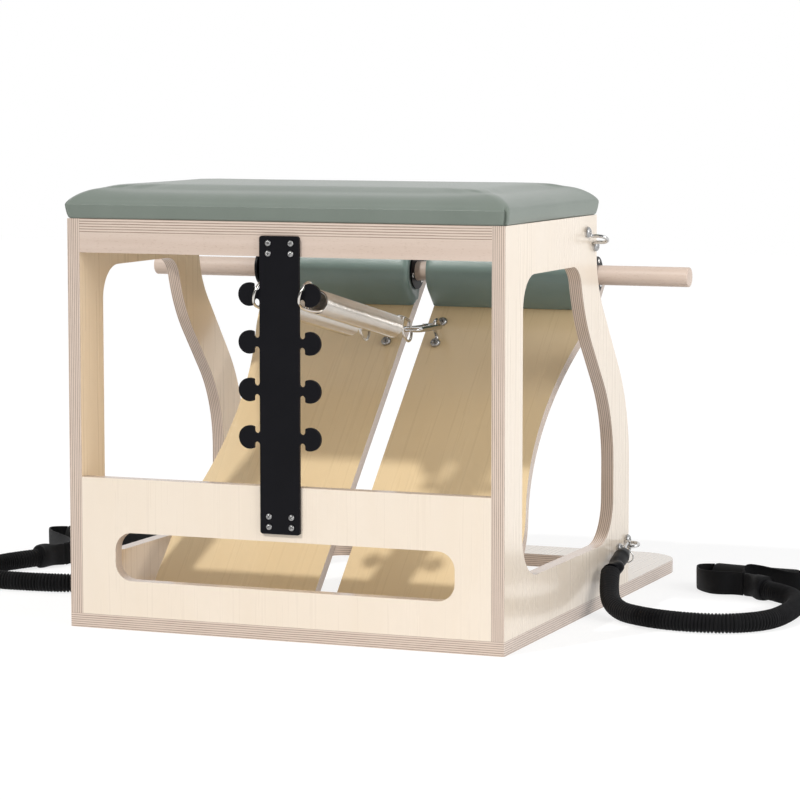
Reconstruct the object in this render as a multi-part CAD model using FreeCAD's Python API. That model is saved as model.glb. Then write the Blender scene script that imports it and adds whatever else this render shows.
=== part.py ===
import FreeCAD, Part
import math
import os

# Pilates chair: a plywood frame with an upholstered seat, two sprung pedals hinged low at the
# rear, a loose foot dowel through both pedal pads, and a sleeved elastic cord at each side.
# Millimetres. +X is the chair's right seen from the spring side, +Y points from the spring side
# to the pedal pads, +Z is up. The origin is on the floor, on the chair's centre plane, under
# the pedals' hinge axis.

V = FreeCAD.Vector
X_AXIS = V(1, 0, 0)
Y_AXIS = V(0, 1, 0)
Z_AXIS = V(0, 0, 1)
SIDES = (("left", -1), ("right", 1))

# Shared allowances
overrun = 8.0
clearance = 0.3
running_clearance = 0.05
link_play = 0.8
parallel_share = 0.0005

# Frame boards
chair_width = 620.0
panel_thickness = 18.0
panel_height = 550.0
hinge_to_rear = 147.6
base_thickness = 19.0
base_depth = 805.0
base_front_corner_radius = 70.0
cutout_side_margin = 75.0
cutout_start = 23.4
cutout_corner_radius = 40.0
front_bar_width = 82.0
seat_board_thickness = 19.0
seat_board_depth = 365.0
rail_height = 26.0
rail_thickness = 22.0
rear_panel_height = 185.0
slot_end_margin = 49.5
slot_height = 65.0
slot_floor_height = 66.5
slot_corner_radius = 24.0

# Side panel: the front leg sweeps out on two arcs, and the window follows it
panel_top_depth = 369.0
panel_foot_depth = 524.0
leg_sweep_top = 503.0
leg_upper_radius = 130.0
leg_lower_radius = 230.0
leg_slope = 40.0
window_rear_rail = 67.5
window_top_height = 483.5
window_floor_height = 88.5
window_top_depth = 296.0
window_foot_depth = 451.0
window_sweep_top = 519.0
window_upper_radius = 217.0
window_lower_radius = 179.0
window_slope = 42.0
window_rear_top_radius = 45.0
window_front_top_radius = 38.0
window_bottom_radius = 60.0

# Hidden frame fasteners
base_screw_radius = 2.5
base_screw_length = 55.0
base_screw_head_radius = 5.0
base_screw_head_height = 3.0
base_screw_sink = 0.5
side_screw_shares = (0.06, 0.36, 0.66, 0.93)
rear_screw_shares = (-0.35, 0.0, 0.35)
frame_dowel_radius = 4.0
frame_dowel_length = 30.0
frame_dowel_bite = 12.0
seat_dowel_shares = (0.08, 0.5, 0.92)
rear_panel_dowel_shares = (0.25, 0.75)

# Hook plate for the springs
plate_width = 56.0
plate_length = 390.0
plate_bottom_height = 142.0
plate_thickness = 4.5
plate_corner_radius = 3.5
hook_count = 4
hook_pitch = 62.4
hook_lowest_height = 268.5
hook_head_radius = 15.4
hook_tip_reach = 58.2
hook_notch_width = 8.4
hook_neck_height = 11.0
hook_corner_radius = 2.0
plate_screw_spacing = 32.0
plate_screw_pitch = 13.5
plate_screw_edge = 9.3
plate_screw_radius = 2.2
plate_screw_length = 16.0
plate_screw_head_radius = 4.2
plate_screw_head_height = 2.4

# Seat cushion: vinyl over foam on a thin board
cushion_side_overhang = 2.0
cushion_depth = 372.0
cushion_rear_overhang = 2.5
cushion_height = 51.0
cushion_corner_radius = 12.0
cushion_draw_in = 1.5
cushion_board_thickness = 6.0
cushion_board_inset = 5.0
cushion_height_shares = (0.0, 0.13, 0.37, 0.60, 0.82, 0.95, 1.0)
cushion_insets = (2.0, 0.0, 1.0, 11.0, 34.0, 74.0, 125.0)
cushion_corner_growth_share = 0.25

# Pedal hinges
hinge_pin_radius = 2.5
hinge_lift = 0.4
hinge_knuckle_radius = 4.5
hinge_leaf_thickness = 2.0
hinge_leaf_width = 28.0
hinge_length = 60.0
hinge_places = (72.0, 205.0)
hinge_knuckles = 3
hinge_screw_radius = 1.8
hinge_screw_length = 11.0
hinge_screw_head_radius = 3.4
hinge_screw_head_height = 1.5
hinge_screw_shares = (-0.38, 0.0, 0.38)
hinge_screw_place_share = 0.66

# Pedals, drawn flat along +Y from the hinge axis and then tilted up
pedal_rest_angle = 45.0
pedal_gap = 32.0
pedal_outer = 258.0
pedal_thickness = 15.0
pedal_start = 5.8
pedal_end = 612.8
waist_depth = 27.0
waist_half_length = 230.0
waist_place = 317.8
waist_blend_share = 0.33

# Pads round the foot dowel
dowel_place = 571.3
dowel_above_board = 29.0
dowel_diameter = 28.0
dowel_left_end = 433.0
dowel_right_end = 398.0
dowel_edge_radius = 2.0
pad_radius = 44.0
pad_edge_radius = 9.0
flange_radius = 26.5
flange_thickness = 3.5
flange_screw_circle_radius = 20.5
flange_screw_count = 3
flange_screw_radius = 1.8
flange_screw_length = 14.0
flange_screw_head_radius = 3.4
flange_screw_head_height = 1.8

# Wire eyes on the pedals and side panels
eye_half_span = 20.0
eye_foot_radius = 7.0
eye_foot_thickness = 3.0
eye_wire_radius = 2.5
eye_loop_half_width = 9.0
eye_loop_height = 27.0
eye_bend_radius = 5.0
eye_screw_radius = 2.4
eye_screw_length = 13.0
eye_screw_head_radius = 6.5
eye_screw_head_height = 4.5
pedal_eye_reach = 38.0
pedal_eye_place = 478.3
upper_eye_depth = 340.0
upper_eye_height = 518.0
lower_eye_depth = 492.0
lower_eye_height = 78.0
upper_eye_tilt = -30.5
lower_eye_tilt = 10.6

# Springs and their carabiners
spring_wire_radius = 2.0
spring_coil_radius = 14.4
spring_loop_radius = 15.8
spring_turns = 48
spring_rear_lead = 40.0
spring_front_lead = 56.0
spring_hang = 0.6
spring_loop_free_angle = 35.0
spring_loop_turn_angle = 300.0
carabiner_wire_radius = 4.0
carabiner_half_width = 12.0
carabiner_length = 100.0
carabiner_tilt_angle = -1.2
carabiner_play = 1.5
cheek_inner_share = 0.5
cheek_outer_share = 0.95
cheek_width_share = 0.7
cheek_front_share = 0.6
rivet_length_share = 0.7
rivet_share = 0.3
pivot_share = 0.9
gate_bar_share = 0.8
gate_start_share = 1.3

# Cord fittings: snap hook, split ring and rubber boot, on one line from the lower eye
snap_wire_radius = 2.5
snap_half_width = 7.0
snap_length = 39.0
snap_reach = 13.0
split_ring_radius = 8.5
split_ring_wire_radius = 1.1
boot_radius = 9.5
boot_collar_radius = 11.5
boot_collar_length = 12.0
boot_tab_height = 5.0
boot_tab_width = 13.0
boot_tab_end = 6.0
boot_tab_length = 9.0
boot_hole_radius = 3.4
boot_lobe_radius = 7.0
boot_lobe_offset = 9.0

# Elastic cords: ruched sleeve over a core. The routes are chosen by hand from boot to handle,
# as distance across, distance ahead of the rear face, and height
sleeve_radius = 13.5
sleeve_valley_radius = 11.6
sleeve_bore_radius = 8.5
cord_core_radius = 8.0
sleeve_rib_count = 95
rib_steps = 4
crest_steps = (1, 2)
cord_lie = 13.9
cord_points = {
    "left": [
        (-331.5, 374.0, 56.0), (-338.0, 341.0, 30.0), (-362.0, 303.0, 15.0),
        (-402.0, 268.0, cord_lie), (-447.0, 243.0, cord_lie), (-500.0, 236.0, cord_lie),
        (-553.0, 235.0, cord_lie), (-585.7, 249.0, cord_lie), (-610.7, 274.5, cord_lie),
        (-624.2, 307.2, cord_lie), (-628.0, 355.0, cord_lie), (-617.0, 400.0, 14.3),
        (-592.0, 436.0, 15.5),
    ],
    "right": [
        (331.5, 374.0, 56.0), (338.0, 341.0, 30.0), (362.0, 309.0, 15.0),
        (402.0, 281.0, cord_lie), (452.0, 262.0, cord_lie), (506.0, 262.0, cord_lie),
        (538.7, 275.5, cord_lie), (563.7, 300.5, cord_lie), (577.2, 333.2, cord_lie),
        (581.0, 385.0, cord_lie), (579.0, 440.0, cord_lie), (566.0, 490.0, cord_lie),
        (541.0, 527.0, 14.3), (504.0, 550.5, 15.5),
    ],
}
route_arc_share = 0.45

# Cord handles
end_ring_length = 2.0
end_ring_radius = 14.6
cup_mouth_radius = 15.0
cup_end_radius = 9.0
cup_length = 40.0
grip_radius = 17.5
grip_edge_radius = 4.0
strap_width = 33.0
strap_thickness = 3.0
strap_floor_gap = 1.0
grip_points = {
    "left": [(-648.0, 634.0, grip_radius), (-519.0, 651.0, grip_radius)],
    "right": [(406.0, 640.0, grip_radius), (535.0, 622.0, grip_radius)],
}
strap_points = {
    "left": (
        [(-569.4, 472.5, 0), (-563.4, 484.2, 0), (-590.0, 524.0, 0), (-635.0, 569.0, 0),
         (-668.0, 605.0, 0), (-671.0, 628.0, 0), (-648.8, 633.9, 0)],
        [(-565.6, 469.9, 0), (-556.8, 479.6, 0), (-530.0, 534.0, 0), (-499.0, 599.0, 0),
         (-494.0, 631.0, 0), (-497.0, 652.5, 0), (-518.2, 651.1, 0)],
    ),
    "right": (
        [(466.5, 571.6, 0), (454.7, 575.0, 0), (432.0, 563.0, 0), (404.0, 579.0, 0),
         (386.0, 609.0, 0), (384.0, 636.0, 0), (405.2, 640.1, 0)],
        [(469.0, 575.5, 0), (458.9, 583.9, 0), (462.0, 601.0, 0), (490.0, 605.0, 0),
         (530.0, 591.0, 0), (556.0, 597.0, 0), (557.0, 617.0, 0), (535.8, 621.9, 0)],
    ),
}
strap_bend_share = 0.4

# Derived levels and planes
rear_face = -hinge_to_rear
front_edge = base_depth - hinge_to_rear
half_width = chair_width / 2
cushion_half_width = half_width + cushion_side_overhang
inner_face = half_width - panel_thickness
rear_panel_top = base_thickness + rear_panel_height
seat_board_floor = panel_height - seat_board_thickness
rail_floor = seat_board_floor - rail_height
hinge_height = base_thickness + hinge_knuckle_radius + hinge_lift
leaf_floor = -hinge_knuckle_radius
pedal_floor = leaf_floor + hinge_leaf_thickness
pedal_top = pedal_floor + pedal_thickness
dowel_above_hinge = pedal_top + dowel_above_board


def from_rear(points):
    return [V(x, rear_face + y, z) for x, y, z in points]


def box(low, high):
    size = high - low
    return Part.makeBox(size.x, size.y, size.z, low)


def rod(start, end, radius):
    return Part.makeCylinder(radius, (end - start).Length, start, end - start)


def placed(shape, placement):
    copy = shape.copy()
    copy.Placement = placement.multiply(copy.Placement)
    return copy


def turned(angle, axis=X_AXIS, base=None):
    return FreeCAD.Placement(base or V(), FreeCAD.Rotation(axis, angle))


def mirrored(shape, side):
    return shape if side > 0 else shape.mirror(V(), X_AXIS)


def group(shapes):
    return Part.makeCompound(shapes)


def line(a, b):
    return Part.LineSegment(a, b).toShape()


def arc(a, middle, b):
    return Part.Arc(a, middle, b).toShape()


def polar(centre, radius, angle, u, v):
    turn = math.radians(angle)
    return centre + u * (radius * math.cos(turn)) + v * (radius * math.sin(turn))


def pipe(edges, radius):
    wire = Part.Wire(edges)
    first = edges[0]
    start = first.valueAt(first.FirstParameter)
    along = first.tangentAt(first.FirstParameter)
    profile = Part.Wire(Part.makeCircle(radius, start, along))
    return wire.makePipeShell([profile], True, False)


def round_nearest(shape, spots, direction):
    """Round, for each (point, radius), the straight edge along direction nearest the point."""
    for point, radius in spots:
        best = None
        for edge in shape.Edges:
            if not isinstance(edge.Curve, Part.Line):
                continue
            if edge.Curve.Direction.cross(direction).Length > parallel_share:
                continue
            offset = edge.CenterOfMass - point
            offset = offset - direction * (offset * direction)
            if best is None or offset.Length < best[0]:
                best = (offset.Length, edge)
        shape = shape.makeFillet(radius, [best[1]])
    return shape


def dome(radius, height):
    """A spherical cap standing on z = 0."""
    ball_radius = (radius * radius + height * height) / (2 * height)
    ball = Part.makeSphere(ball_radius, V(0, 0, height - ball_radius))
    return ball.common(Part.makeCylinder(radius, height + overrun))


def screw(head_radius, head_height, shank_radius, shank_length):
    """A dome-headed screw along -Z whose head sits on z = 0."""
    shank = Part.makeCylinder(shank_radius, shank_length, V(0, 0, -shank_length))
    return dome(head_radius, head_height).fuse(shank).removeSplitter()


def sunk_screw(head_radius, head_height, shank_radius, length):
    """A countersunk screw along -Z whose flat head is flush with z = 0."""
    head = Part.makeCone(shank_radius, head_radius, head_height, V(0, 0, -head_height))
    return head.fuse(Part.makeCylinder(shank_radius, length, V(0, 0, -length))).removeSplitter()


def screw_hole(shank_radius, shank_length):
    hole_radius = shank_radius + running_clearance
    return Part.makeCylinder(hole_radius, shank_length + overrun + clearance,
                             V(0, 0, -shank_length - clearance))


def cut_all(shape, tools):
    return shape.cut(list(tools)) if tools else shape


# Side panels

def leg_sweep(y_top, y_foot, z_start, upper_radius, lower_radius, slope):
    """Edges of the front leg's line, from its upright top down to its upright foot."""
    s = math.sin(math.radians(slope))
    c = math.cos(math.radians(slope))
    half = slope / 2
    run = (y_foot - y_top - (upper_radius + lower_radius) * (1 - c)) / s
    start = V(0, y_top, z_start)
    upper_centre = start + Y_AXIS * upper_radius
    upper_end = upper_centre - V(0, c, s) * upper_radius
    lower_start = upper_end + V(0, s, -c) * run
    lower_centre = lower_start - V(0, c, s) * lower_radius
    foot = lower_centre + Y_AXIS * lower_radius
    upper_middle = polar(upper_centre, upper_radius, half, -Y_AXIS, -Z_AXIS)
    lower_middle = polar(lower_centre, lower_radius, half, Y_AXIS, Z_AXIS)
    return start, foot, [arc(start, upper_middle, upper_end), line(upper_end, lower_start),
                         arc(lower_start, lower_middle, foot)]


def leg_plate(y_rear, y_top, y_foot, z_floor, z_ceiling, sweep, thickness):
    """A plate on the YZ plane bounded in front by a leg sweep."""
    start, foot, edges = sweep
    rear_floor = V(0, y_rear, z_floor)
    rear_ceiling = V(0, y_rear, z_ceiling)
    front_floor = V(0, y_foot, z_floor)
    outline = [line(rear_floor, rear_ceiling)]
    if z_ceiling > start.z:
        front_ceiling = V(0, y_top, z_ceiling)
        outline += [line(rear_ceiling, front_ceiling), line(front_ceiling, start)]
    else:
        outline.append(line(rear_ceiling, start))
    outline += edges + [line(foot, front_floor), line(front_floor, rear_floor)]
    return Part.Face(Part.Wire(outline)).extrude(X_AXIS * thickness)


def side_panel():
    """The right-hand panel, with its inner face on the inner_face plane."""
    top = rear_face + panel_top_depth
    foot = rear_face + panel_foot_depth
    sweep = leg_sweep(top, foot, leg_sweep_top, leg_upper_radius, leg_lower_radius, leg_slope)
    panel = leg_plate(rear_face, top, foot, base_thickness, panel_height, sweep, panel_thickness)
    window_rear = rear_face + window_rear_rail
    window_top = rear_face + window_top_depth
    window_foot = rear_face + window_foot_depth
    sweep = leg_sweep(window_top, window_foot, window_sweep_top,
                      window_upper_radius, window_lower_radius, window_slope)
    depth = panel_thickness + 2 * overrun
    window = leg_plate(window_rear, window_top, window_foot, window_floor_height,
                       window_sweep_top, sweep, depth)
    window = window.common(box(V(0, rear_face, 0), V(depth, front_edge, window_top_height)))
    window = round_nearest(window, [
        (V(0, window_rear, window_top_height), window_rear_top_radius),
        (V(0, window_top, window_top_height), window_front_top_radius),
        (V(0, window_rear, window_floor_height), window_bottom_radius),
        (V(0, window_foot, window_floor_height), window_bottom_radius),
    ], X_AXIS)
    window.translate(X_AXIS * -overrun)
    panel = panel.cut(window)
    panel.translate(X_AXIS * inner_face)
    return panel


# Wire eyes

def eye():
    """An eye lying on z = 0 with its feet along X and its loop standing up."""
    loop_straight = eye_loop_height - eye_wire_radius - eye_loop_half_width
    lift = eye_wire_radius + clearance
    bend_top = lift + eye_bend_radius
    near = eye_loop_half_width
    start = near + eye_bend_radius
    lead = eye_half_span - eye_foot_radius / 2
    bend_middle_x = near + eye_bend_radius * (1 - math.sqrt(0.5))
    bend_middle_z = bend_top - eye_bend_radius * math.sqrt(0.5)
    edges = [
        line(V(-lead, 0, lift), V(-start, 0, lift)),
        arc(V(-start, 0, lift), V(-bend_middle_x, 0, bend_middle_z),
            V(-near, 0, bend_top)),
        line(V(-near, 0, bend_top), V(-near, 0, loop_straight)),
        arc(V(-near, 0, loop_straight), V(0, 0, loop_straight + near), V(near, 0, loop_straight)),
        line(V(near, 0, loop_straight), V(near, 0, bend_top)),
        arc(V(near, 0, bend_top), V(bend_middle_x, 0, bend_middle_z),
            V(start, 0, lift)),
        line(V(start, 0, lift), V(lead, 0, lift)),
    ]
    body = pipe(edges, eye_wire_radius)
    for sign in (-1, 1):
        foot = Part.makeCylinder(eye_foot_radius, eye_foot_thickness, V(sign * eye_half_span, 0, 0))
        body = body.fuse(foot)
    headroom = [Part.makeCylinder(eye_screw_head_radius + clearance, eye_loop_height,
                                  V(sign * eye_half_span, 0, eye_foot_thickness))
                for sign in (-1, 1)]
    holes = [Part.makeCylinder(eye_screw_radius + running_clearance, eye_loop_height,
                               V(sign * eye_half_span, 0, -overrun))
             for sign in (-1, 1)]
    return body.cut(headroom + holes)


def eye_screws():
    one = screw(eye_screw_head_radius, eye_screw_head_height, eye_screw_radius,
                eye_screw_length + eye_foot_thickness)
    return [placed(one, FreeCAD.Placement(V(sign * eye_half_span, 0, eye_foot_thickness),
                                          FreeCAD.Rotation())) for sign in (-1, 1)]


def eye_holes():
    hole = screw_hole(eye_screw_radius, eye_screw_length)
    return [placed(hole, FreeCAD.Placement(V(sign * eye_half_span, 0, 0), FreeCAD.Rotation()))
            for sign in (-1, 1)]


def panel_eye_place(depth, height, tilt_angle):
    """Places an eye on the right panel's outer face, its feet along the tilted Y direction."""
    tilt = math.radians(tilt_angle)
    feet = V(0, math.cos(tilt), math.sin(tilt))
    across = X_AXIS.cross(feet)
    turn = FreeCAD.Rotation(feet, across, X_AXIS, "ZXY")
    return FreeCAD.Placement(V(half_width, rear_face + depth, height), turn)


# Hook plate

def hook_plate():
    """The plate with its back on the plane y = 0 of the rear face, hooks on both edges."""
    half = plate_width / 2
    plate = box(V(-half, -plate_thickness, plate_bottom_height),
                V(half, 0, plate_bottom_height + plate_length))
    corners = [(V(sx * half, 0, z), plate_corner_radius) for sx in (-1, 1)
               for z in (plate_bottom_height, plate_bottom_height + plate_length)]
    plate = round_nearest(plate, corners, Y_AXIS)
    notch_radius = hook_notch_width / 2
    notch_rise = hook_neck_height / 2 + notch_radius
    head_flat = half + hook_notch_width
    head_centre = hook_tip_reach - hook_head_radius
    head = Part.makeCylinder(hook_head_radius, plate_thickness, V(head_centre, 0, 0), -Y_AXIS)
    head = head.common(box(V(head_flat, -plate_thickness, -hook_head_radius),
                           V(hook_tip_reach, 0, hook_head_radius)))
    flat_end = math.sqrt(hook_head_radius ** 2 - (head_centre - head_flat) ** 2)
    head = round_nearest(head, [(V(head_flat, 0, flat_end), hook_corner_radius),
                                (V(head_flat, 0, -flat_end), hook_corner_radius)], Y_AXIS)
    neck = box(V(half - plate_corner_radius, -plate_thickness, -notch_rise),
               V(head_flat + notch_radius, 0, notch_rise))
    for sign in (-1, 1):
        neck = neck.cut(Part.makeCylinder(notch_radius, plate_thickness,
                                          V(half + notch_radius, 0, sign * notch_rise), -Y_AXIS))
    neck = neck.common(box(V(0, -plate_thickness, -notch_rise),
                           V(head_flat + hook_corner_radius, 0, notch_rise)))
    hook = head.fuse(neck)
    for row in range(hook_count):
        rise = Z_AXIS * (hook_lowest_height + row * hook_pitch)
        for side in (-1, 1):
            copy = mirrored(hook.copy(), side)
            copy.translate(rise)
            plate = plate.fuse(copy)
    return plate.removeSplitter()


def plate_screw_places():
    top = plate_bottom_height + plate_length - plate_screw_edge
    bottom = plate_bottom_height + plate_screw_edge
    heights = (top, top - plate_screw_pitch, bottom, bottom + plate_screw_pitch)
    return [V(sx * plate_screw_spacing / 2, rear_face - plate_thickness, z)
            for z in heights for sx in (-1, 1)]


# Seat cushion

def cushion_section(height, inset):
    half_x = cushion_half_width - inset
    rear = rear_face - cushion_rear_overhang + inset
    front = rear_face - cushion_rear_overhang + cushion_depth - inset
    middle = (rear + front) / 2
    r = cushion_corner_radius + inset * cushion_corner_growth_share
    z = panel_height + height
    draw = cushion_draw_in
    corner = r * (1 - math.sqrt(0.5))
    edges = [arc(V(-half_x + r, rear, z), V(0, rear + draw, z), V(half_x - r, rear, z)),
             arc(V(half_x - r, rear, z), V(half_x - corner, rear + corner, z),
                 V(half_x, rear + r, z)),
             arc(V(half_x, rear + r, z), V(half_x - draw, middle, z), V(half_x, front - r, z)),
             arc(V(half_x, front - r, z), V(half_x - corner, front - corner, z),
                 V(half_x - r, front, z)),
             arc(V(half_x - r, front, z), V(0, front - draw, z), V(-half_x + r, front, z)),
             arc(V(-half_x + r, front, z), V(-half_x + corner, front - corner, z),
                 V(-half_x, front - r, z)),
             arc(V(-half_x, front - r, z), V(-half_x + draw, middle, z),
                 V(-half_x, rear + r, z)),
             arc(V(-half_x, rear + r, z), V(-half_x + corner, rear + corner, z),
                 V(-half_x + r, rear, z))]
    return Part.Wire(edges)


def cushion_board():
    inset = cushion_board_inset + cushion_insets[0]
    rear = rear_face - cushion_rear_overhang
    return box(V(-cushion_half_width + inset, rear + inset, panel_height),
               V(cushion_half_width - inset, rear + cushion_depth - inset,
                 panel_height + cushion_board_thickness))


def seat_cushion(board):
    sections = [cushion_section(share * cushion_height, inset)
                for share, inset in zip(cushion_height_shares, cushion_insets)]
    return Part.makeLoft(sections, True, False).cut(board)


# Pedal hinges

def hinge_leaf(on_pedal):
    """One leaf in the hinge frame, its axis along X: under the pedal on +Y, on the base on -Y."""
    direction = 1 if on_pedal else -1
    segment = hinge_length / hinge_knuckles
    floor = leaf_floor if on_pedal else leaf_floor - hinge_lift
    low_y, high_y = sorted((0, direction * hinge_leaf_width))
    leaf = box(V(-hinge_length / 2, low_y, floor), V(hinge_length / 2, high_y, pedal_floor))
    room = hinge_knuckle_radius + 2 * clearance
    for index in range(hinge_knuckles):
        start = -hinge_length / 2 + index * segment
        end = start + segment
        if (index % 2 == 1) == on_pedal:
            knuckle = rod(V(start + clearance, 0, 0), V(end - clearance, 0, 0),
                          hinge_knuckle_radius)
            leaf = leaf.fuse(knuckle)
        else:
            leaf = leaf.cut(rod(V(start - clearance, 0, 0), V(end + clearance, 0, 0), room))
    bore = hinge_pin_radius + running_clearance
    leaf = leaf.cut(rod(V(-hinge_length, 0, 0), V(hinge_length, 0, 0), bore))
    return leaf.cut(hinge_screw_holes(on_pedal))


def hinge_screw_places(on_pedal):
    """Screw heads lie flush in the leaf's open face: below on the pedal, above on the base."""
    direction = 1 if on_pedal else -1
    y = direction * hinge_leaf_width * hinge_screw_place_share
    face = leaf_floor if on_pedal else pedal_floor
    turn = FreeCAD.Rotation(X_AXIS, 180 if on_pedal else 0)
    return [FreeCAD.Placement(V(share * hinge_length, y, face), turn)
            for share in hinge_screw_shares]


def at_hinges(shapes, sides):
    """Copies of shapes at every hinge place on the given sides."""
    copies = []
    for side in sides:
        for place in hinge_places:
            shift = FreeCAD.Placement(V(side * place, 0, 0), FreeCAD.Rotation())
            copies += [placed(shape, shift) for shape in shapes]
    return copies


def hinge_screws(on_pedal):
    one = sunk_screw(hinge_screw_head_radius, hinge_screw_head_height, hinge_screw_radius,
                     hinge_screw_length)
    return [placed(one, place) for place in hinge_screw_places(on_pedal)]


def hinge_screw_holes(on_pedal):
    room = running_clearance
    one = sunk_screw(hinge_screw_head_radius + room, hinge_screw_head_height + room,
                     hinge_screw_radius + room, hinge_screw_length + clearance)
    return [placed(one, place) for place in hinge_screw_places(on_pedal)]


# Pedals, in the hinge frame, right-hand side

def pedal_board():
    """The board's outline: straight inner edge, outer edge drawn in to a waist on three arcs."""
    inner = pedal_gap / 2
    half_turn = math.degrees(math.atan2(waist_depth, waist_half_length))
    turn = 2 * half_turn
    radii = waist_half_length / math.sin(math.radians(turn))
    blend = radii * waist_blend_share
    hollow = radii - blend
    first = waist_place - waist_half_length
    last = waist_place + waist_half_length
    first_centre = V(pedal_outer - blend, first, 0)
    last_centre = V(pedal_outer - blend, last, 0)
    waist_centre = V(pedal_outer - waist_depth + hollow, waist_place, 0)
    blend_end = polar(first_centre, blend, turn, X_AXIS, Y_AXIS)
    blend_start = polar(last_centre, blend, -turn, X_AXIS, Y_AXIS)
    corners = [V(inner, pedal_end, 0), V(inner, pedal_start, 0), V(pedal_outer, pedal_start, 0)]
    far_corner = V(pedal_outer, pedal_end, 0)
    edges = [line(corners[0], corners[1]), line(corners[1], corners[2]),
             line(corners[2], V(pedal_outer, first, 0)),
             arc(V(pedal_outer, first, 0),
                 polar(first_centre, blend, half_turn, X_AXIS, Y_AXIS), blend_end),
             arc(blend_end, waist_centre - X_AXIS * hollow, blend_start),
             arc(blend_start, polar(last_centre, blend, -half_turn, X_AXIS, Y_AXIS),
                 V(pedal_outer, last, 0)),
             line(V(pedal_outer, last, 0), far_corner), line(far_corner, corners[0])]
    board = Part.Face(Part.Wire(edges)).extrude(Z_AXIS * pedal_thickness)
    board.translate(Z_AXIS * pedal_floor)
    return board


def pedal_pad():
    """A D-shaped roll on the board, round on top about the dowel."""
    start = V(pedal_gap / 2, dowel_place, dowel_above_hinge)
    left = start - Y_AXIS * pad_radius
    right = start + Y_AXIS * pad_radius
    floor_left = V(left.x, left.y, pedal_top)
    floor_right = V(right.x, right.y, pedal_top)
    quarter = pad_radius * math.sqrt(0.5)
    crown = start + Z_AXIS * pad_radius
    edges = [line(floor_right, floor_left), line(floor_left, left),
             arc(left, start + V(0, -quarter, quarter), crown),
             arc(crown, start + V(0, quarter, quarter), right), line(right, floor_right)]
    pad = Part.Face(Part.Wire(edges)).extrude(X_AXIS * (pedal_outer - pedal_gap / 2))
    rims = []
    for edge in pad.Edges:
        at_end = abs(edge.CenterOfMass.x - pedal_gap / 2) < clearance \
            or abs(edge.CenterOfMass.x - pedal_outer) < clearance
        if at_end and edge.CenterOfMass.z > pedal_top + clearance:
            rims.append(edge)
    pad = pad.makeFillet(pad_edge_radius, rims)
    bore = rod(start - X_AXIS * overrun, V(pedal_outer + overrun, start.y, start.z),
               dowel_diameter / 2 + clearance)
    holes = [placed(screw_hole(flange_screw_radius, flange_screw_length), place)
             for place in flange_screw_places()]
    return pad.cut([bore] + holes)


def flange_ends():
    """The two flanges' outer planes as (x, outward sign)."""
    return ((pedal_gap / 2 - flange_thickness, -1), (pedal_outer + flange_thickness, 1))


def flange_screw_places():
    places = []
    for x, sign in flange_ends():
        turn = FreeCAD.Rotation(Y_AXIS, Z_AXIS, X_AXIS, "ZXY")
        if sign < 0:
            turn = FreeCAD.Rotation(-Y_AXIS, Z_AXIS, -X_AXIS, "ZXY")
        for index in range(flange_screw_count):
            angle = -90 + index * 360 / flange_screw_count
            place = polar(V(x, dowel_place, dowel_above_hinge), flange_screw_circle_radius, angle,
                          Y_AXIS, Z_AXIS)
            places.append(FreeCAD.Placement(place, turn))
    return places


def flanges():
    pieces = []
    for x, sign in flange_ends():
        outer = V(x, dowel_place, dowel_above_hinge)
        disc = rod(outer, outer - X_AXIS * (sign * flange_thickness), flange_radius)
        bore = rod(outer + X_AXIS * (sign * overrun), outer - X_AXIS * (sign * overrun),
                   dowel_diameter / 2 + clearance)
        pieces.append(disc.cut(bore))
    holes = [placed(screw_hole(flange_screw_radius, flange_screw_length), place)
             for place in flange_screw_places()]
    return [piece.cut(holes) for piece in pieces]


def flange_screws():
    one = screw(flange_screw_head_radius, flange_screw_head_height, flange_screw_radius,
                flange_screw_length)
    return [placed(one, place) for place in flange_screw_places()]


def pedal_eye_placement():
    """Eye on the pedal's upper face with its feet along the pedal."""
    turn = FreeCAD.Rotation(Y_AXIS, -X_AXIS, Z_AXIS, "ZXY")
    return FreeCAD.Placement(V(pedal_eye_reach, pedal_eye_place, pedal_top), turn)


# Springs: one wire with a full loop at each end, its axis along +Y of the link frame

def biarc(p0, t0, p1, t1):
    """Two tangent arcs from p0 along t0 to p1 along t1."""
    v = p1 - p0
    t = t0 + t1
    spread = 2 * (1 - t0 * t1)
    reach = (math.sqrt((v * t) ** 2 + spread * (v * v)) - v * t) / spread
    control = (p0 + t0 * reach, p1 - t1 * reach)
    joint = (control[0] + control[1]) * 0.5
    return [tangent_arc(p0, control[0], joint), tangent_arc(joint, control[1], p1)]


def tangent_arc(a, control, b):
    """The arc from a to b whose end tangents meet at control."""
    chord_middle = (a + b) * 0.5
    rise = control - chord_middle
    half_chord = (b - a).Length / 2
    half_angle = math.atan2(rise.Length, half_chord) / 2
    return arc(a, chord_middle + rise * (half_chord * math.tan(half_angle) / rise.Length), b)


def loop_arcs(centre, first, last):
    """Two arcs of the loop's radius in the YZ plane, from angle first to angle last."""
    angles = [first + (last - first) * step / 4 for step in range(5)]
    points = [polar(centre, spring_loop_radius, angle, Y_AXIS, Z_AXIS) for angle in angles]
    return [arc(*points[0:3]), arc(*points[2:5])]


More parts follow.
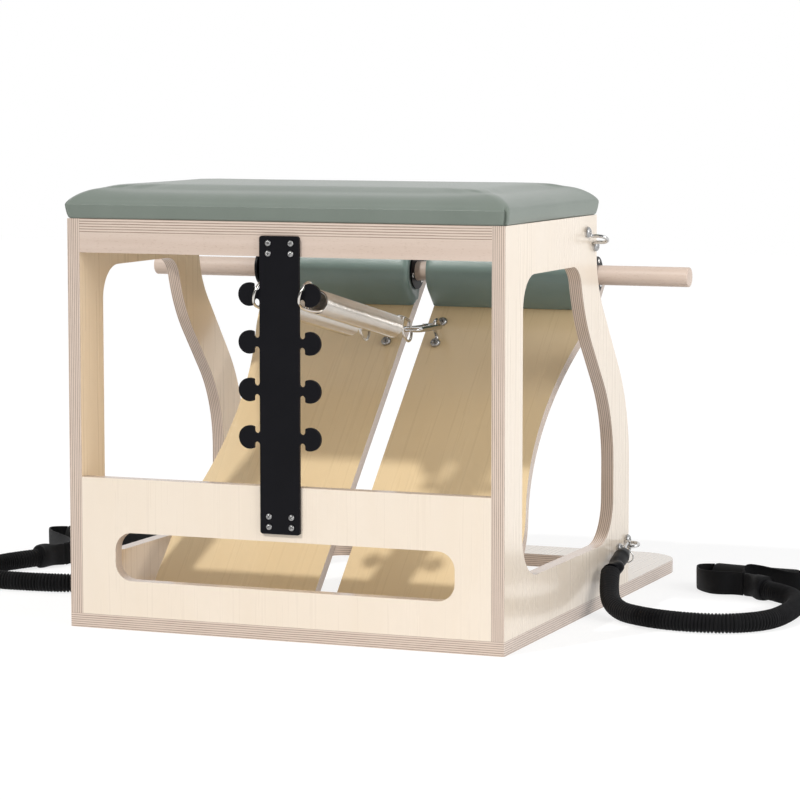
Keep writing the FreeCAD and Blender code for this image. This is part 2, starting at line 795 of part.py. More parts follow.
def spring_path(loop_distance):
    """Edges of the wire's centre line: rear loop at the origin, front loop at loop_distance."""
    r = spring_coil_radius
    body = loop_distance - spring_rear_lead - spring_front_lead
    pitch = body / spring_turns
    rise = pitch / (2 * math.pi)
    length = math.hypot(r, rise)

    def point(turn):
        return V(r * math.cos(turn), spring_rear_lead + rise * turn, r * math.sin(turn))

    def tangent(turn):
        return V(-r * math.sin(turn), rise, r * math.cos(turn)) * (1 / length)

    far = V(0, loop_distance, 0)
    leave = math.radians(spring_loop_turn_angle)
    loop_end = polar(V(), spring_loop_radius, spring_loop_turn_angle, Y_AXIS, Z_AXIS)
    lead = V(0, -math.sin(leave), math.cos(leave))
    far_start = polar(far, spring_loop_radius, spring_loop_turn_angle - 180, Y_AXIS, Z_AXIS)
    end_turn = 2 * math.pi * spring_turns
    edges = loop_arcs(V(), spring_loop_free_angle, spring_loop_turn_angle)
    edges += biarc(loop_end, lead, point(0), tangent(0))
    half_turns = 2 * spring_turns
    for step in range(half_turns):
        a = math.pi * step
        b = math.pi * (step + 1)
        edges += half_turn_arcs(point, tangent, a, b)
    edges += biarc(point(end_turn), tangent(end_turn), far_start, lead)
    edges += loop_arcs(far, spring_loop_turn_angle - 180, spring_loop_free_angle - 180)
    return edges


def half_turn_arcs(point, tangent, a, b):
    """A half turn of the helix as two quarter-turn biarcs."""
    middle = (a + b) / 2
    return biarc(point(a), tangent(a), point(middle), tangent(middle)) \
        + biarc(point(middle), tangent(middle), point(b), tangent(b))


def least_self_gap(edges, wire_radius, name):
    """Least gap between stretches of the wire at least half a coil apart, measured on points."""
    points = []
    travelled = 0
    for edge in edges:
        steps = 4
        span = edge.LastParameter - edge.FirstParameter
        for step in range(steps):
            points.append((travelled + edge.Length * step / steps,
                           edge.valueAt(edge.FirstParameter + span * step / steps)))
        travelled += edge.Length
    apart = math.pi * spring_coil_radius
    least = None
    for index, (place, point) in enumerate(points):
        for other_place, other in points[index + 1:]:
            if other_place - place < apart:
                continue
            if other_place - place > 4 * apart:
                break
            gap = (other - point).Length
            least = gap if least is None or gap < least else least
    print(name, "least gap to itself", round(least - 2 * wire_radius, 2), "mm")


# Carabiners and snap hooks: an oval wire in the XY plane, long axis +Y, gate on the -X side

def carabiner(length, half_width, wire_radius):
    """The hook's bent wire with its fork and rivet; y = 0 is the wire centre of the first bow."""
    reach = length - 2 * wire_radius
    low = half_width
    high = reach - half_width
    edges = [arc(V(-half_width, low, 0), V(0, 0, 0), V(half_width, low, 0)),
             line(V(half_width, low, 0), V(half_width, high, 0)),
             arc(V(half_width, high, 0), V(0, reach, 0), V(-half_width, high, 0))]
    body = pipe(edges, wire_radius)
    pivot = gate_pivot(half_width, wire_radius)
    for sign in (-1, 1):
        low_z, high_z = sorted((sign * wire_radius * cheek_inner_share,
                                sign * wire_radius * cheek_outer_share))
        cheek_half = wire_radius * cheek_width_share
        cheek = box(V(-half_width - cheek_half, low - wire_radius * cheek_inner_share, low_z),
                    V(-half_width + cheek_half, pivot.y + wire_radius * cheek_front_share, high_z))
        body = body.fuse(cheek)
    rivet_half = wire_radius * rivet_length_share
    rivet = rod(pivot - Z_AXIS * rivet_half, pivot + Z_AXIS * rivet_half, wire_radius * rivet_share)
    return body.fuse(rivet).removeSplitter()


def gate_pivot(half_width, wire_radius):
    return V(-half_width, half_width + wire_radius * pivot_share + clearance, 0)


def gate(length, half_width, wire_radius):
    """The straight gate on its rivet, closed against the nose of the far bow."""
    reach = length - 2 * wire_radius
    high = reach - half_width
    pivot = gate_pivot(half_width, wire_radius)
    bar_radius = wire_radius * gate_bar_share
    tongue_radius = wire_radius * pivot_share
    bar_start = pivot + Y_AXIS * (wire_radius * gate_start_share)
    bar = rod(bar_start, V(pivot.x, high - clearance, 0), bar_radius)
    half_tongue = wire_radius * cheek_inner_share - clearance / 2
    tongue = rod(pivot - Z_AXIS * half_tongue, pivot + Z_AXIS * half_tongue, tongue_radius)
    link_half = bar_radius * gate_bar_share
    link = box(V(pivot.x - link_half, pivot.y, -half_tongue),
               V(pivot.x + link_half, bar_start.y + wire_radius, half_tongue))
    bore = rod(pivot - Z_AXIS * wire_radius, pivot + Z_AXIS * wire_radius,
               wire_radius * rivet_share + running_clearance)
    return bar.fuse([tongue, link]).cut(bore).removeSplitter()


# Cords

def route_edges(points, arc_share, name):
    """Straight runs joined by tangent arcs as large as the runs allow."""
    runs = [points[i + 1] - points[i] for i in range(len(points) - 1)]
    edges = []
    radii = []
    last = points[0]
    for index in range(1, len(points) - 1):
        before, after = runs[index - 1], runs[index]
        cut = arc_share * min(before.Length, after.Length)
        turn = before.getAngle(after)
        radii.append(cut / math.tan(turn / 2))
        corner = points[index]
        start = corner - before * (cut / before.Length)
        end = corner + after * (cut / after.Length)
        edges.append(line(last, start))
        edges.append(tangent_arc(start, corner, end))
        last = end
    edges.append(line(last, points[-1]))
    if name:
        length = sum(edge.Length for edge in edges)
        print(name, "length", round(length), "mm, radii", [round(r) for r in radii])
    return edges


def ribbed_sleeve(edges):
    """A ruched tube: four rings to a rib, ruled between them, with a plain bore."""
    wire = Part.Wire(edges)
    count = rib_steps * sleeve_rib_count
    points = wire.discretize(Number=count + 1)
    rings = []
    for index, point in enumerate(points):
        before = points[max(index - 1, 0)]
        after = points[min(index + 1, count)]
        along = (after - before).normalize()
        side = Z_AXIS.cross(along).normalize()
        crest = index % rib_steps in crest_steps
        radius = sleeve_radius if crest else sleeve_valley_radius
        turn = FreeCAD.Rotation(side, along.cross(side), along, "ZXY")
        ring = Part.makeCircle(radius)
        ring.Placement = FreeCAD.Placement(point, turn)
        rings.append(Part.Wire(ring))
    outer = Part.makeLoft(rings, True, True)
    return outer.cut(pipe(edges, sleeve_bore_radius))


def along_frame(start, end):
    """A frame at start with +Y towards end and +Z as near up as it can be."""
    along = (end - start).normalize()
    side = along.cross(Z_AXIS).normalize()
    return FreeCAD.Placement(start, FreeCAD.Rotation(side, along, side.cross(along), "YXZ"))


def boot(length):
    """A rubber boot along +Y: flat eyelet tab at y = 0, tapered body, collar and side lobe."""
    tab = box(V(-boot_tab_width / 2, -boot_tab_end, -boot_tab_height / 2),
              V(boot_tab_width / 2, boot_tab_length, boot_tab_height / 2))
    tab = round_nearest(tab, [(V(sx * boot_tab_width / 2, -boot_tab_end, 0), boot_tab_end / 2)
                              for sx in (-1, 1)], Z_AXIS)
    shoulder = boot_tab_length + boot_radius
    collar = length - boot_collar_length
    neck = boot_tab_height / 2
    outline = [line(V(0, boot_tab_length - neck, 0), V(neck, boot_tab_length - neck, 0)),
               line(V(neck, boot_tab_length - neck, 0), V(boot_radius, shoulder, 0)),
               line(V(boot_radius, shoulder, 0), V(boot_radius, collar - neck, 0)),
               line(V(boot_radius, collar - neck, 0), V(boot_collar_radius, collar, 0)),
               line(V(boot_collar_radius, collar, 0), V(boot_collar_radius, length, 0)),
               line(V(boot_collar_radius, length, 0), V(0, length, 0)),
               line(V(0, length, 0), V(0, boot_tab_length - neck, 0))]
    body = Part.Face(Part.Wire(outline)).revolve(V(), Y_AXIS, 360)
    lobe = Part.makeSphere(boot_lobe_radius, V(boot_lobe_offset, collar - boot_lobe_radius, 0))
    hole = rod(V(0, 0, -boot_radius), V(0, 0, boot_radius), boot_hole_radius)
    return body.fuse([tab, lobe]).cut(hole)


def end_frame(route):
    """A frame at the route's last point, +Y on along the cord."""
    return along_frame(route[-1], route[-1] * 2 - route[-2])


def handle_cup():
    start = V(0, end_ring_length, 0)
    cup = Part.makeCone(cup_mouth_radius, cup_end_radius, cup_length, start, Y_AXIS)
    return cup


def end_ring():
    ring = rod(V(), V(0, end_ring_length, 0), end_ring_radius)
    return ring.cut(rod(V(), V(0, end_ring_length, 0), sleeve_bore_radius))


def grip(ends):
    start, end = ends
    body = rod(start, end, grip_radius)
    rims = [edge for edge in body.Edges if isinstance(edge.Curve, Part.Circle)]
    return body.makeFillet(grip_edge_radius, rims)


def strap(routes):
    """Two webbing bands standing on edge, from the cup's end to the grip's two ends."""
    bands = []
    for chosen in routes:
        points = from_rear(chosen)
        edges = route_edges(points, strap_bend_share, None)
        along = (points[1] - points[0]).normalize()
        side = Z_AXIS.cross(along) * (strap_thickness / 2)
        floor = Z_AXIS * strap_floor_gap
        top = floor + Z_AXIS * strap_width
        corners = [points[0] - side + floor, points[0] + side + floor,
                   points[0] + side + top, points[0] - side + top]
        profile = Part.Wire([line(corners[i], corners[(i + 1) % 4]) for i in range(4)])
        bands.append(Part.Wire(edges).makePipeShell([profile], True, False))
    return bands


# Frame

nodes = {}

right_panel = side_panel()
upper_eye_place = panel_eye_place(upper_eye_depth, upper_eye_height, upper_eye_tilt)
lower_eye_place = panel_eye_place(lower_eye_depth, lower_eye_height, lower_eye_tilt)
panel_drills = [placed(hole, place) for place in (upper_eye_place, lower_eye_place)
                for hole in eye_holes()]
base_screw = Part.makeCone(base_screw_head_radius, base_screw_radius, base_screw_head_height)
base_screw = base_screw.fuse(Part.makeCylinder(base_screw_radius, base_screw_length)).removeSplitter()
panel_middle = inner_face + panel_thickness / 2
foot_span = panel_foot_depth
base_screw_places = [V(side * panel_middle, rear_face + share * foot_span, base_screw_sink)
                     for share in side_screw_shares for side in (-1, 1)]
base_screw_places += [V(share * chair_width, rear_face + panel_thickness / 2, base_screw_sink)
                      for share in rear_screw_shares]
base_drills = []
for place in base_screw_places:
    head_room = Part.makeCylinder(base_screw_head_radius + clearance,
                                  base_screw_head_height + base_screw_sink + clearance,
                                  V(place.x, place.y, 0))
    shank_room = Part.makeCylinder(base_screw_radius + running_clearance,
                                   base_screw_length + clearance, place)
    base_drills += [head_room, shank_room]

dowel_rows = [(rear_face + share * seat_board_depth, panel_height - seat_board_thickness / 2)
              for share in seat_dowel_shares]
dowel_rows.append((rear_face + rail_thickness / 2, rail_floor + rail_height / 2))
dowel_rows += [(rear_face + panel_thickness / 2, base_thickness + share * rear_panel_height)
               for share in rear_panel_dowel_shares]
frame_dowel_start = inner_face + frame_dowel_bite - frame_dowel_length
frame_dowels = []
frame_dowel_holes = []
for y, z in dowel_rows:
    for side in (-1, 1):
        inner = V(side * frame_dowel_start, y, z)
        outer = V(side * (inner_face + frame_dowel_bite), y, z)
        reach = (outer - inner).normalize() * clearance
        frame_dowels.append(rod(inner, outer, frame_dowel_radius))
        frame_dowel_holes.append(rod(inner - reach, outer + reach,
                                     frame_dowel_radius + running_clearance))

base = box(V(-half_width, rear_face, 0), V(half_width, front_edge, base_thickness))
base = round_nearest(base, [(V(sx * half_width, front_edge, 0), base_front_corner_radius)
                            for sx in (-1, 1)], Z_AXIS)
cutout_end = front_edge - front_bar_width
cutout_half = half_width - cutout_side_margin
cutout = box(V(-cutout_half, cutout_start, -overrun),
             V(cutout_half, cutout_end, base_thickness + overrun))
cutout = round_nearest(cutout, [(V(sx * cutout_half, y, 0), cutout_corner_radius)
                                for sx in (-1, 1) for y in (cutout_start, cutout_end)], Z_AXIS)
hinge_place = FreeCAD.Placement(V(0, 0, hinge_height), FreeCAD.Rotation())
base_drills += [placed(hole, hinge_place) for hole in at_hinges(hinge_screw_holes(False), (-1, 1))]
nodes["base_board"] = cut_all(base.cut(cutout), base_drills)

for name, side in SIDES:
    panel = mirrored(right_panel.cut(panel_drills), side)
    nodes[name + "_side_panel"] = cut_all(panel, base_drills + frame_dowel_holes)

plate_hole = screw_hole(plate_screw_radius, plate_screw_length + plate_thickness)
facing_rear = FreeCAD.Rotation(X_AXIS, Z_AXIS, -Y_AXIS, "ZXY")
plate_drills = [placed(plate_hole, FreeCAD.Placement(place, facing_rear))
                for place in plate_screw_places()]

seat_board = box(V(-inner_face, rear_face, seat_board_floor),
                 V(inner_face, rear_face + seat_board_depth, panel_height))
nodes["seat_board"] = cut_all(seat_board, frame_dowel_holes + plate_drills)
rail = box(V(-inner_face, rear_face, rail_floor),
           V(inner_face, rear_face + rail_thickness, seat_board_floor))
nodes["rear_rail"] = cut_all(rail, frame_dowel_holes + plate_drills)

rear_panel = box(V(-inner_face, rear_face, base_thickness),
                 V(inner_face, rear_face + panel_thickness, rear_panel_top))
slot_top = slot_floor_height + slot_height
slot_half = inner_face - slot_end_margin
slot = box(V(-slot_half, rear_face - overrun, slot_floor_height),
           V(slot_half, rear_face + panel_thickness + overrun, slot_top))
slot = round_nearest(slot, [(V(sx * slot_half, 0, z), slot_corner_radius)
                            for sx in (-1, 1) for z in (slot_floor_height, slot_top)], Y_AXIS)
nodes["rear_panel"] = cut_all(rear_panel.cut(slot), frame_dowel_holes + plate_drills + base_drills)

nodes["base_screws"] = group([placed(base_screw, FreeCAD.Placement(p, FreeCAD.Rotation()))
                              for p in base_screw_places])
nodes["frame_dowels"] = group(frame_dowels)

plate = hook_plate()
plate.translate(Y_AXIS * rear_face)
nodes["spring_hook_plate"] = cut_all(plate, plate_drills)
plate_screw = screw(plate_screw_head_radius, plate_screw_head_height, plate_screw_radius,
                    plate_screw_length + plate_thickness)
nodes["hook_plate_screws"] = group([placed(plate_screw, FreeCAD.Placement(p, facing_rear))
                                    for p in plate_screw_places()])

nodes["seat_cushion_base"] = cushion_board()
nodes["seat_cushion"] = seat_cushion(nodes["seat_cushion_base"])

wire_eye = eye()
for node, place in (("upper_panel_eyes", upper_eye_place), ("lower_panel_eyes", lower_eye_place)):
    nodes[node] = group([mirrored(placed(wire_eye, place), side) for _, side in SIDES])
nodes["panel_eye_screws"] = group([mirrored(placed(s, place), side) for s in eye_screws()
                                   for place in (upper_eye_place, lower_eye_place)
                                   for _, side in SIDES])

nodes["hinge_base_leaves"] = group([placed(leaf, hinge_place)
                                    for leaf in at_hinges([hinge_leaf(False)], (-1, 1))])
nodes["hinge_base_screws"] = group([placed(s, hinge_place)
                                    for s in at_hinges(hinge_screws(False), (-1, 1))])
pin = rod(X_AXIS * (-hinge_length / 2), X_AXIS * (hinge_length / 2), hinge_pin_radius)
nodes["hinge_pins"] = group([placed(p, hinge_place) for p in at_hinges([pin], (-1, 1))])

# Pedals

pedal_place = turned(pedal_rest_angle, X_AXIS, V(0, 0, hinge_height))
eye_on_pedal = pedal_eye_placement()
pedal_drills = [placed(hole, eye_on_pedal) for hole in eye_holes()]
pedal_drills += at_hinges(hinge_screw_holes(True), (1,))
right_pieces = {
    "pedal_board": pedal_board().cut(pedal_drills),
    "pedal_pad": pedal_pad(),
    "pad_flanges": group(flanges()),
    "flange_screws": group(flange_screws()),
    "pedal_eye": placed(wire_eye, eye_on_pedal),
    "pedal_eye_screws": group([placed(s, eye_on_pedal) for s in eye_screws()]),
    "pedal_hinge_leaves": group(at_hinges([hinge_leaf(True)], (1,))),
    "pedal_hinge_screws": group(at_hinges(hinge_screws(True), (1,))),
}
for name, side in SIDES:
    for piece, shape in right_pieces.items():
        nodes[name + "_" + piece] = placed(mirrored(shape, side), pedal_place)

dowel_start = V(-dowel_left_end, dowel_place, dowel_above_hinge)
dowel_end = V(dowel_right_end, dowel_place, dowel_above_hinge)
dowel = rod(dowel_start, dowel_end, dowel_diameter / 2)
dowel_rims = [edge for edge in dowel.Edges if isinstance(edge.Curve, Part.Circle)]
nodes["foot_dowel"] = placed(dowel.makeFillet(dowel_edge_radius, dowel_rims), pedal_place)

# Springs with carabiners: the slack spring rests on the top hook, the carabiner lies almost level

top_hook_height = hook_lowest_height + (hook_count - 1) * hook_pitch
notch_reach = plate_width / 2 + hook_notch_width / 2
loop_inner = spring_loop_radius - spring_wire_radius
neck_drop = hook_neck_height / 2 + spring_hang
neck_reach = math.sqrt((loop_inner - clearance) ** 2 - neck_drop ** 2)
hook_centre = V(notch_reach, rear_face - plate_thickness + neck_reach,
                top_hook_height - spring_hang)
loop_crown = pedal_top + eye_loop_height - eye_wire_radius - eye_loop_half_width
eye_centre = pedal_place.multVec(V(pedal_eye_reach, pedal_eye_place, loop_crown))
carabiner_line = turned(carabiner_tilt_angle, X_AXIS).multVec(Y_AXIS)
eye_room = eye_loop_half_width - eye_wire_radius - carabiner_wire_radius - carabiner_play
eye_contact = eye_centre - carabiner_line * eye_room
carabiner_reach = carabiner_length - 2 * carabiner_wire_radius
near_bow = eye_contact - carabiner_line * carabiner_reach
link_line = V(0, near_bow.y - hook_centre.y, near_bow.z - hook_centre.z)
link_angle = math.degrees(math.atan2(link_line.z, link_line.y))
loop_distance = link_line.Length - loop_inner + carabiner_wire_radius + carabiner_play
link_place = turned(link_angle, X_AXIS, hook_centre)
carabiner_place = turned(carabiner_tilt_angle, X_AXIS,
                         V((pedal_eye_reach + notch_reach) / 2, near_bow.y, near_bow.z))
spring_edges = spring_path(loop_distance)
least_self_gap(spring_edges, spring_wire_radius, "spring")
spring = pipe(spring_edges, spring_wire_radius)
link_pieces = {
    "spring": placed(spring, link_place),
    "carabiner": placed(carabiner(carabiner_length, carabiner_half_width, carabiner_wire_radius),
                        carabiner_place),
    "carabiner_gate": placed(gate(carabiner_length, carabiner_half_width, carabiner_wire_radius),
                             carabiner_place),
}
for name, side in SIDES:
    for piece, shape in link_pieces.items():
        nodes[name + "_" + piece] = mirrored(shape, side)
same_hand = turned(link_angle, X_AXIS, V(-hook_centre.x, hook_centre.y, hook_centre.z))
nodes["left_spring"] = placed(spring, same_hand)

# Cords

snap_pull = eye_loop_half_width - eye_wire_radius - snap_wire_radius - link_play
lower_eye_room = lower_eye_place.multVec(V(-snap_pull, 0, snap_reach))
split_rings = []
end_rings = []
for name, side in SIDES:
    route = from_rear(cord_points[name])
    hook_point = V(side * lower_eye_room.x, lower_eye_room.y, lower_eye_room.z)
    snap_reach_length = snap_length - 2 * snap_wire_radius
    frame = along_frame(hook_point, route[0])
    on_edge = frame.multiply(turned(90, Y_AXIS))
    nodes[name + "_snap_hook"] = placed(carabiner(snap_length, snap_half_width, snap_wire_radius),
                                        on_edge)
    nodes[name + "_snap_gate"] = placed(gate(snap_length, snap_half_width, snap_wire_radius),
                                        on_edge)
    boot_start = frame.multVec(Y_AXIS * snap_reach_length)
    boot_frame = along_frame(boot_start, route[0])
    boot_length = (route[0] - boot_start).Length
    first_run = (route[1] - route[0]).normalize()
    sleeve_room = rod(route[0], route[0] + first_run * boot_length, boot_length)
    nodes[name + "_cord_boot"] = placed(boot(boot_length + boot_collar_radius),
                                        boot_frame).cut(sleeve_room)
    hang = split_ring_radius - split_ring_wire_radius - snap_wire_radius - clearance
    ring_centre = frame.multVec(V(0, snap_reach_length / 2, -snap_half_width - hang))
    along = (route[0] - hook_point).normalize()
    split_rings.append(Part.makeTorus(split_ring_radius, split_ring_wire_radius, ring_centre, along))
    edges = route_edges(route, route_arc_share, name + " cord")
    nodes[name + "_cord_sleeve"] = ribbed_sleeve(edges)
    nodes[name + "_cord_core"] = pipe(edges, cord_core_radius)
    core_volume = math.pi * cord_core_radius ** 2 * sum(edge.Length for edge in edges)
    print(name, "core volume over section times length",
          round(nodes[name + "_cord_core"].Volume / core_volume, 4))
    tail = end_frame(route)
    end_rings.append(placed(end_ring(), tail))
    nodes[name + "_handle_cup"] = placed(handle_cup(), tail)
    nodes[name + "_handle_strap"] = group(strap(strap_points[name]))
    nodes[name + "_handle_grip"] = grip(from_rear(grip_points[name]))
nodes["cord_split_rings"] = group(split_rings)
nodes["cord_end_rings"] = group(end_rings)

os.makedirs("parts", exist_ok=True)
for name, shape in nodes.items():
    solids = shape.Solids
    if not solids or not all(solid.isValid() for solid in solids):
        print("check", name, len(solids), [solid.isValid() for solid in solids])
    shape.exportStep(os.path.join("parts", name + ".step"))
print(len(nodes), "nodes, dowel axis at", pedal_place.multVec(V(0, dowel_place, dowel_above_hinge)),
      "spring line", round(link_angle, 2), "degrees, loops", round(loop_distance, 1), "mm apart")
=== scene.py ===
import math

import bmesh
import bpy
import numpy as np
from mathutils import Euler, Matrix, Vector


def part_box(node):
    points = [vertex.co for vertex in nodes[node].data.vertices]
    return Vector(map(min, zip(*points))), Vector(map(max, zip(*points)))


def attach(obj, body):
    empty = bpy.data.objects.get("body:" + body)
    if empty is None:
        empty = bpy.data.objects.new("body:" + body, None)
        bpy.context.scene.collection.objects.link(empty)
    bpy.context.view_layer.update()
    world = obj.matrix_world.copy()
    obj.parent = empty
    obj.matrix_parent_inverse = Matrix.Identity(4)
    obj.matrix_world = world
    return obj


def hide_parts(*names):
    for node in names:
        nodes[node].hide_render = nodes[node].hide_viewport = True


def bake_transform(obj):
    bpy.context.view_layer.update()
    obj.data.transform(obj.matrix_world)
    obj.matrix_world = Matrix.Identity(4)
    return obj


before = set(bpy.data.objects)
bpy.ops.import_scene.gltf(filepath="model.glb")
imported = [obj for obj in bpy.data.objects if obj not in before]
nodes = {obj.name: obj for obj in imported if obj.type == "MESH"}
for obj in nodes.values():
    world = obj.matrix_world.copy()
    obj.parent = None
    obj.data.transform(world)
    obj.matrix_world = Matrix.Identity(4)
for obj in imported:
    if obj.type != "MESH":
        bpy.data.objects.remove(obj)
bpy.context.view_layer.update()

scene = bpy.context.scene


# Studio: a pale paper floor, a key lamp high on the left, a broad fill on the right and a white
# surround. The camera stands where the photograph was taken from.

class Shade:
    """One output of a node. Sums on it add Math nodes, and add() adds any other node."""

    def __init__(self, tree, plug=None):
        self.tree = tree
        self.plug = plug

    def add(self, kind, settings=None, inputs=None, out=0):
        node = self.tree.nodes.new(kind)
        for key, value in (settings or {}).items():
            if key == "stops":
                stops = node.color_ramp.elements
                stops.remove(stops[-1])
                stops[0].position = value[0][0]
                stops[0].color = (*value[0][1], 1)
                for place, colour in value[1:]:
                    stops.new(place).color = (*colour, 1)
            else:
                setattr(node, key, value)
        for key, value in (inputs or {}).items():
            if isinstance(key, int):
                socket = node.inputs[key]
            else:
                socket = [s for s in node.inputs if key in (s.identifier, s.name)][0]
            if isinstance(value, Shade):
                self.tree.links.new(value.plug, socket)
            else:
                socket.default_value = value
        return Shade(self.tree, node.outputs[out] if len(node.outputs) else None)

    def out(self, name):
        return Shade(self.tree, self.plug.node.outputs[name])

    def math(self, operation, *values):
        return self.add("ShaderNodeMath", {"operation": operation}, dict(enumerate(values)))

    def vector(self, operation, *values, out=0):
        return self.add("ShaderNodeVectorMath", {"operation": operation},
                        dict(enumerate(values)), out)

    def along(self, way):
        return self.vector("DOT_PRODUCT", self, tuple(way), out=1)

    def mix(self, share, first, second):
        return self.add("ShaderNodeMix", {"data_type": "RGBA"},
                        {"Factor_Float": share, "A_Color": first, "B_Color": second}, 2)

    def at(self, *parts):
        return self.add("ShaderNodeCombineXYZ", {}, dict(enumerate(parts)))

    def ramp(self, share, *stops):
        return self.add("ShaderNodeValToRGB", {"stops": stops}, {"Fac": share})

    def bump(self, height, strength, distance=0.0004):
        return self.add("ShaderNodeBump", {}, {"Height": height, "Strength": strength,
                                               "Distance": distance})

    def __add__(self, other):
        return self.math("ADD", self, other)

    def __radd__(self, other):
        return self.math("ADD", other, self)

    def __sub__(self, other):
        return self.math("SUBTRACT", self, other)

    def __rsub__(self, other):
        return self.math("SUBTRACT", other, self)

    def __mul__(self, other):
        return self.math("MULTIPLY", self, other)

    def __truediv__(self, other):
        return self.math("DIVIDE", self, other)

    def __pow__(self, other):
        return self.math("POWER", self, other)


def put_in_scene(name, data):
    made = bpy.data.objects.new(name, data)
    scene.collection.objects.link(made)
    return made


scene.view_settings.view_transform = "Standard"

camera = put_in_scene("camera", bpy.data.cameras.new("camera"))
camera_azimuth = math.radians(21.70)
camera_elevation = math.radians(5.84)
camera.location = (1.6413, -3.8521, 0.7325)
camera_forward = Vector((-math.sin(camera_azimuth) * math.cos(camera_elevation),
                         math.cos(camera_azimuth) * math.cos(camera_elevation),
                         -math.sin(camera_elevation)))
camera.rotation_euler = camera_forward.to_track_quat("-Z", "Y").to_euler()
camera.data.sensor_width = 36
camera.data.lens = 140.6
camera.data.clip_end = 100
scene.camera = camera

key_direction = Vector((0.505, 1.0, -0.974))
key_lamp = put_in_scene("key_lamp", bpy.data.lights.new("key_lamp", "SUN"))
key_lamp.rotation_euler = key_direction.to_track_quat("-Z", "Y").to_euler()
key_lamp.data.energy = 1.65
key_lamp.data.angle = math.radians(3)
key_lamp.data.color = (1.0, 0.985, 0.96)

fill_place = Vector((3.4, -0.9, 1.7))
fill_lamp = put_in_scene("fill_lamp", bpy.data.lights.new("fill_lamp", "AREA"))
fill_lamp.location = fill_place
fill_lamp.rotation_euler = (Vector((0, 0, 0.25)) - fill_place).to_track_quat("-Z", "Y").to_euler()
fill_lamp.data.shape = "RECTANGLE"
fill_lamp.data.size = 2.4
fill_lamp.data.size_y = 2.2
fill_lamp.data.energy = 66


def seen_directly(shade):
    """Shares of rays from the camera, and of all rays that show the set itself."""
    rays = shade.add("ShaderNodeLightPath")
    from_camera = rays.out("Is Camera Ray")
    seen = shade.math("MAXIMUM", from_camera, rays.out("Is Glossy Ray"))
    return from_camera, shade.math("MAXIMUM", seen, rays.out("Is Transmission Ray"))


world = bpy.data.worlds.new("studio")
scene.world = world
world.use_nodes = True
world.node_tree.nodes.clear()
surround = Shade(world.node_tree)
from_camera, seen = seen_directly(surround)
heading = surround.add("ShaderNodeSeparateXYZ", {},
                       {0: surround.add("ShaderNodeTexCoord").out("Generated")})
behind_camera = surround.add("ShaderNodeMapRange", {"interpolation_type": "SMOOTHSTEP"},
                             {0: heading.out("Y"), 1: 0.06, 2: -0.30, 3: 1.0, 4: 0.10})
room = surround.math("MAXIMUM", behind_camera, from_camera)
white_card = surround.add("ShaderNodeBackground", {}, {"Color": (1, 1, 1, 1), "Strength": room})
soft_light = surround.add("ShaderNodeBackground", {},
                          {"Color": (0.99, 0.99, 1, 1), "Strength": 0.52})
both = surround.add("ShaderNodeMixShader", {}, {0: seen, 1: soft_light, 2: white_card})
surround.add("ShaderNodeOutputWorld", {}, {"Surface": both})

floor_half = 9.0
floor_mesh = bpy.data.meshes.new("floor")
floor_mesh.from_pydata([(x * floor_half, y * floor_half, 0) for x, y in (
    (-1, -1), (1, -1), (1, 1), (-1, 1))], [], [(0, 1, 2, 3)])
floor = put_in_scene("floor", floor_mesh)
floor_paper = bpy.data.materials.new("floor_paper")
floor_paper.use_nodes = True
floor_paper.node_tree.nodes.clear()
paper = Shade(floor_paper.node_tree)
from_camera, seen = seen_directly(paper)
matt = paper.add("ShaderNodeBsdfDiffuse", {}, {"Color": (0.86, 0.86, 0.86, 1)})
glow = paper.add("ShaderNodeEmission", {}, {"Color": (1, 1, 1, 1), "Strength": 1.14})
lit = paper.add("ShaderNodeMixShader", {}, {0: seen * 0.67, 1: matt, 2: glow})
paper.add("ShaderNodeOutputMaterial", {}, {"Surface": lit})
floor_mesh.materials.append(floor_paper)


# Base board: birch plywood, 19 mm, with a large cut-out and rounded front corners. It is routed
# from one sheet, lacquered, and screwed up into the panels from below.

def open_finish(name):
    """A new material with its shader builder and the place on the piece."""
    material = bpy.data.materials.new(name)
    material.use_nodes = True
    material.node_tree.nodes.clear()
    paint = Shade(material.node_tree)
    return material, paint, paint.add("ShaderNodeTexCoord").out("Object")


def close_finish(material, paint, inputs):
    surface = paint.add("ShaderNodeBsdfPrincipled", {}, inputs)
    paint.add("ShaderNodeOutputMaterial", {}, {"Surface": surface})
    return material


def noise(paint, place, scale, detail=2.0, rough=0.5, distortion=0.0):
    return paint.add("ShaderNodeTexNoise", {}, {
        "Vector": place, "Scale": scale, "Detail": detail, "Roughness": rough,
        "Distortion": distortion})


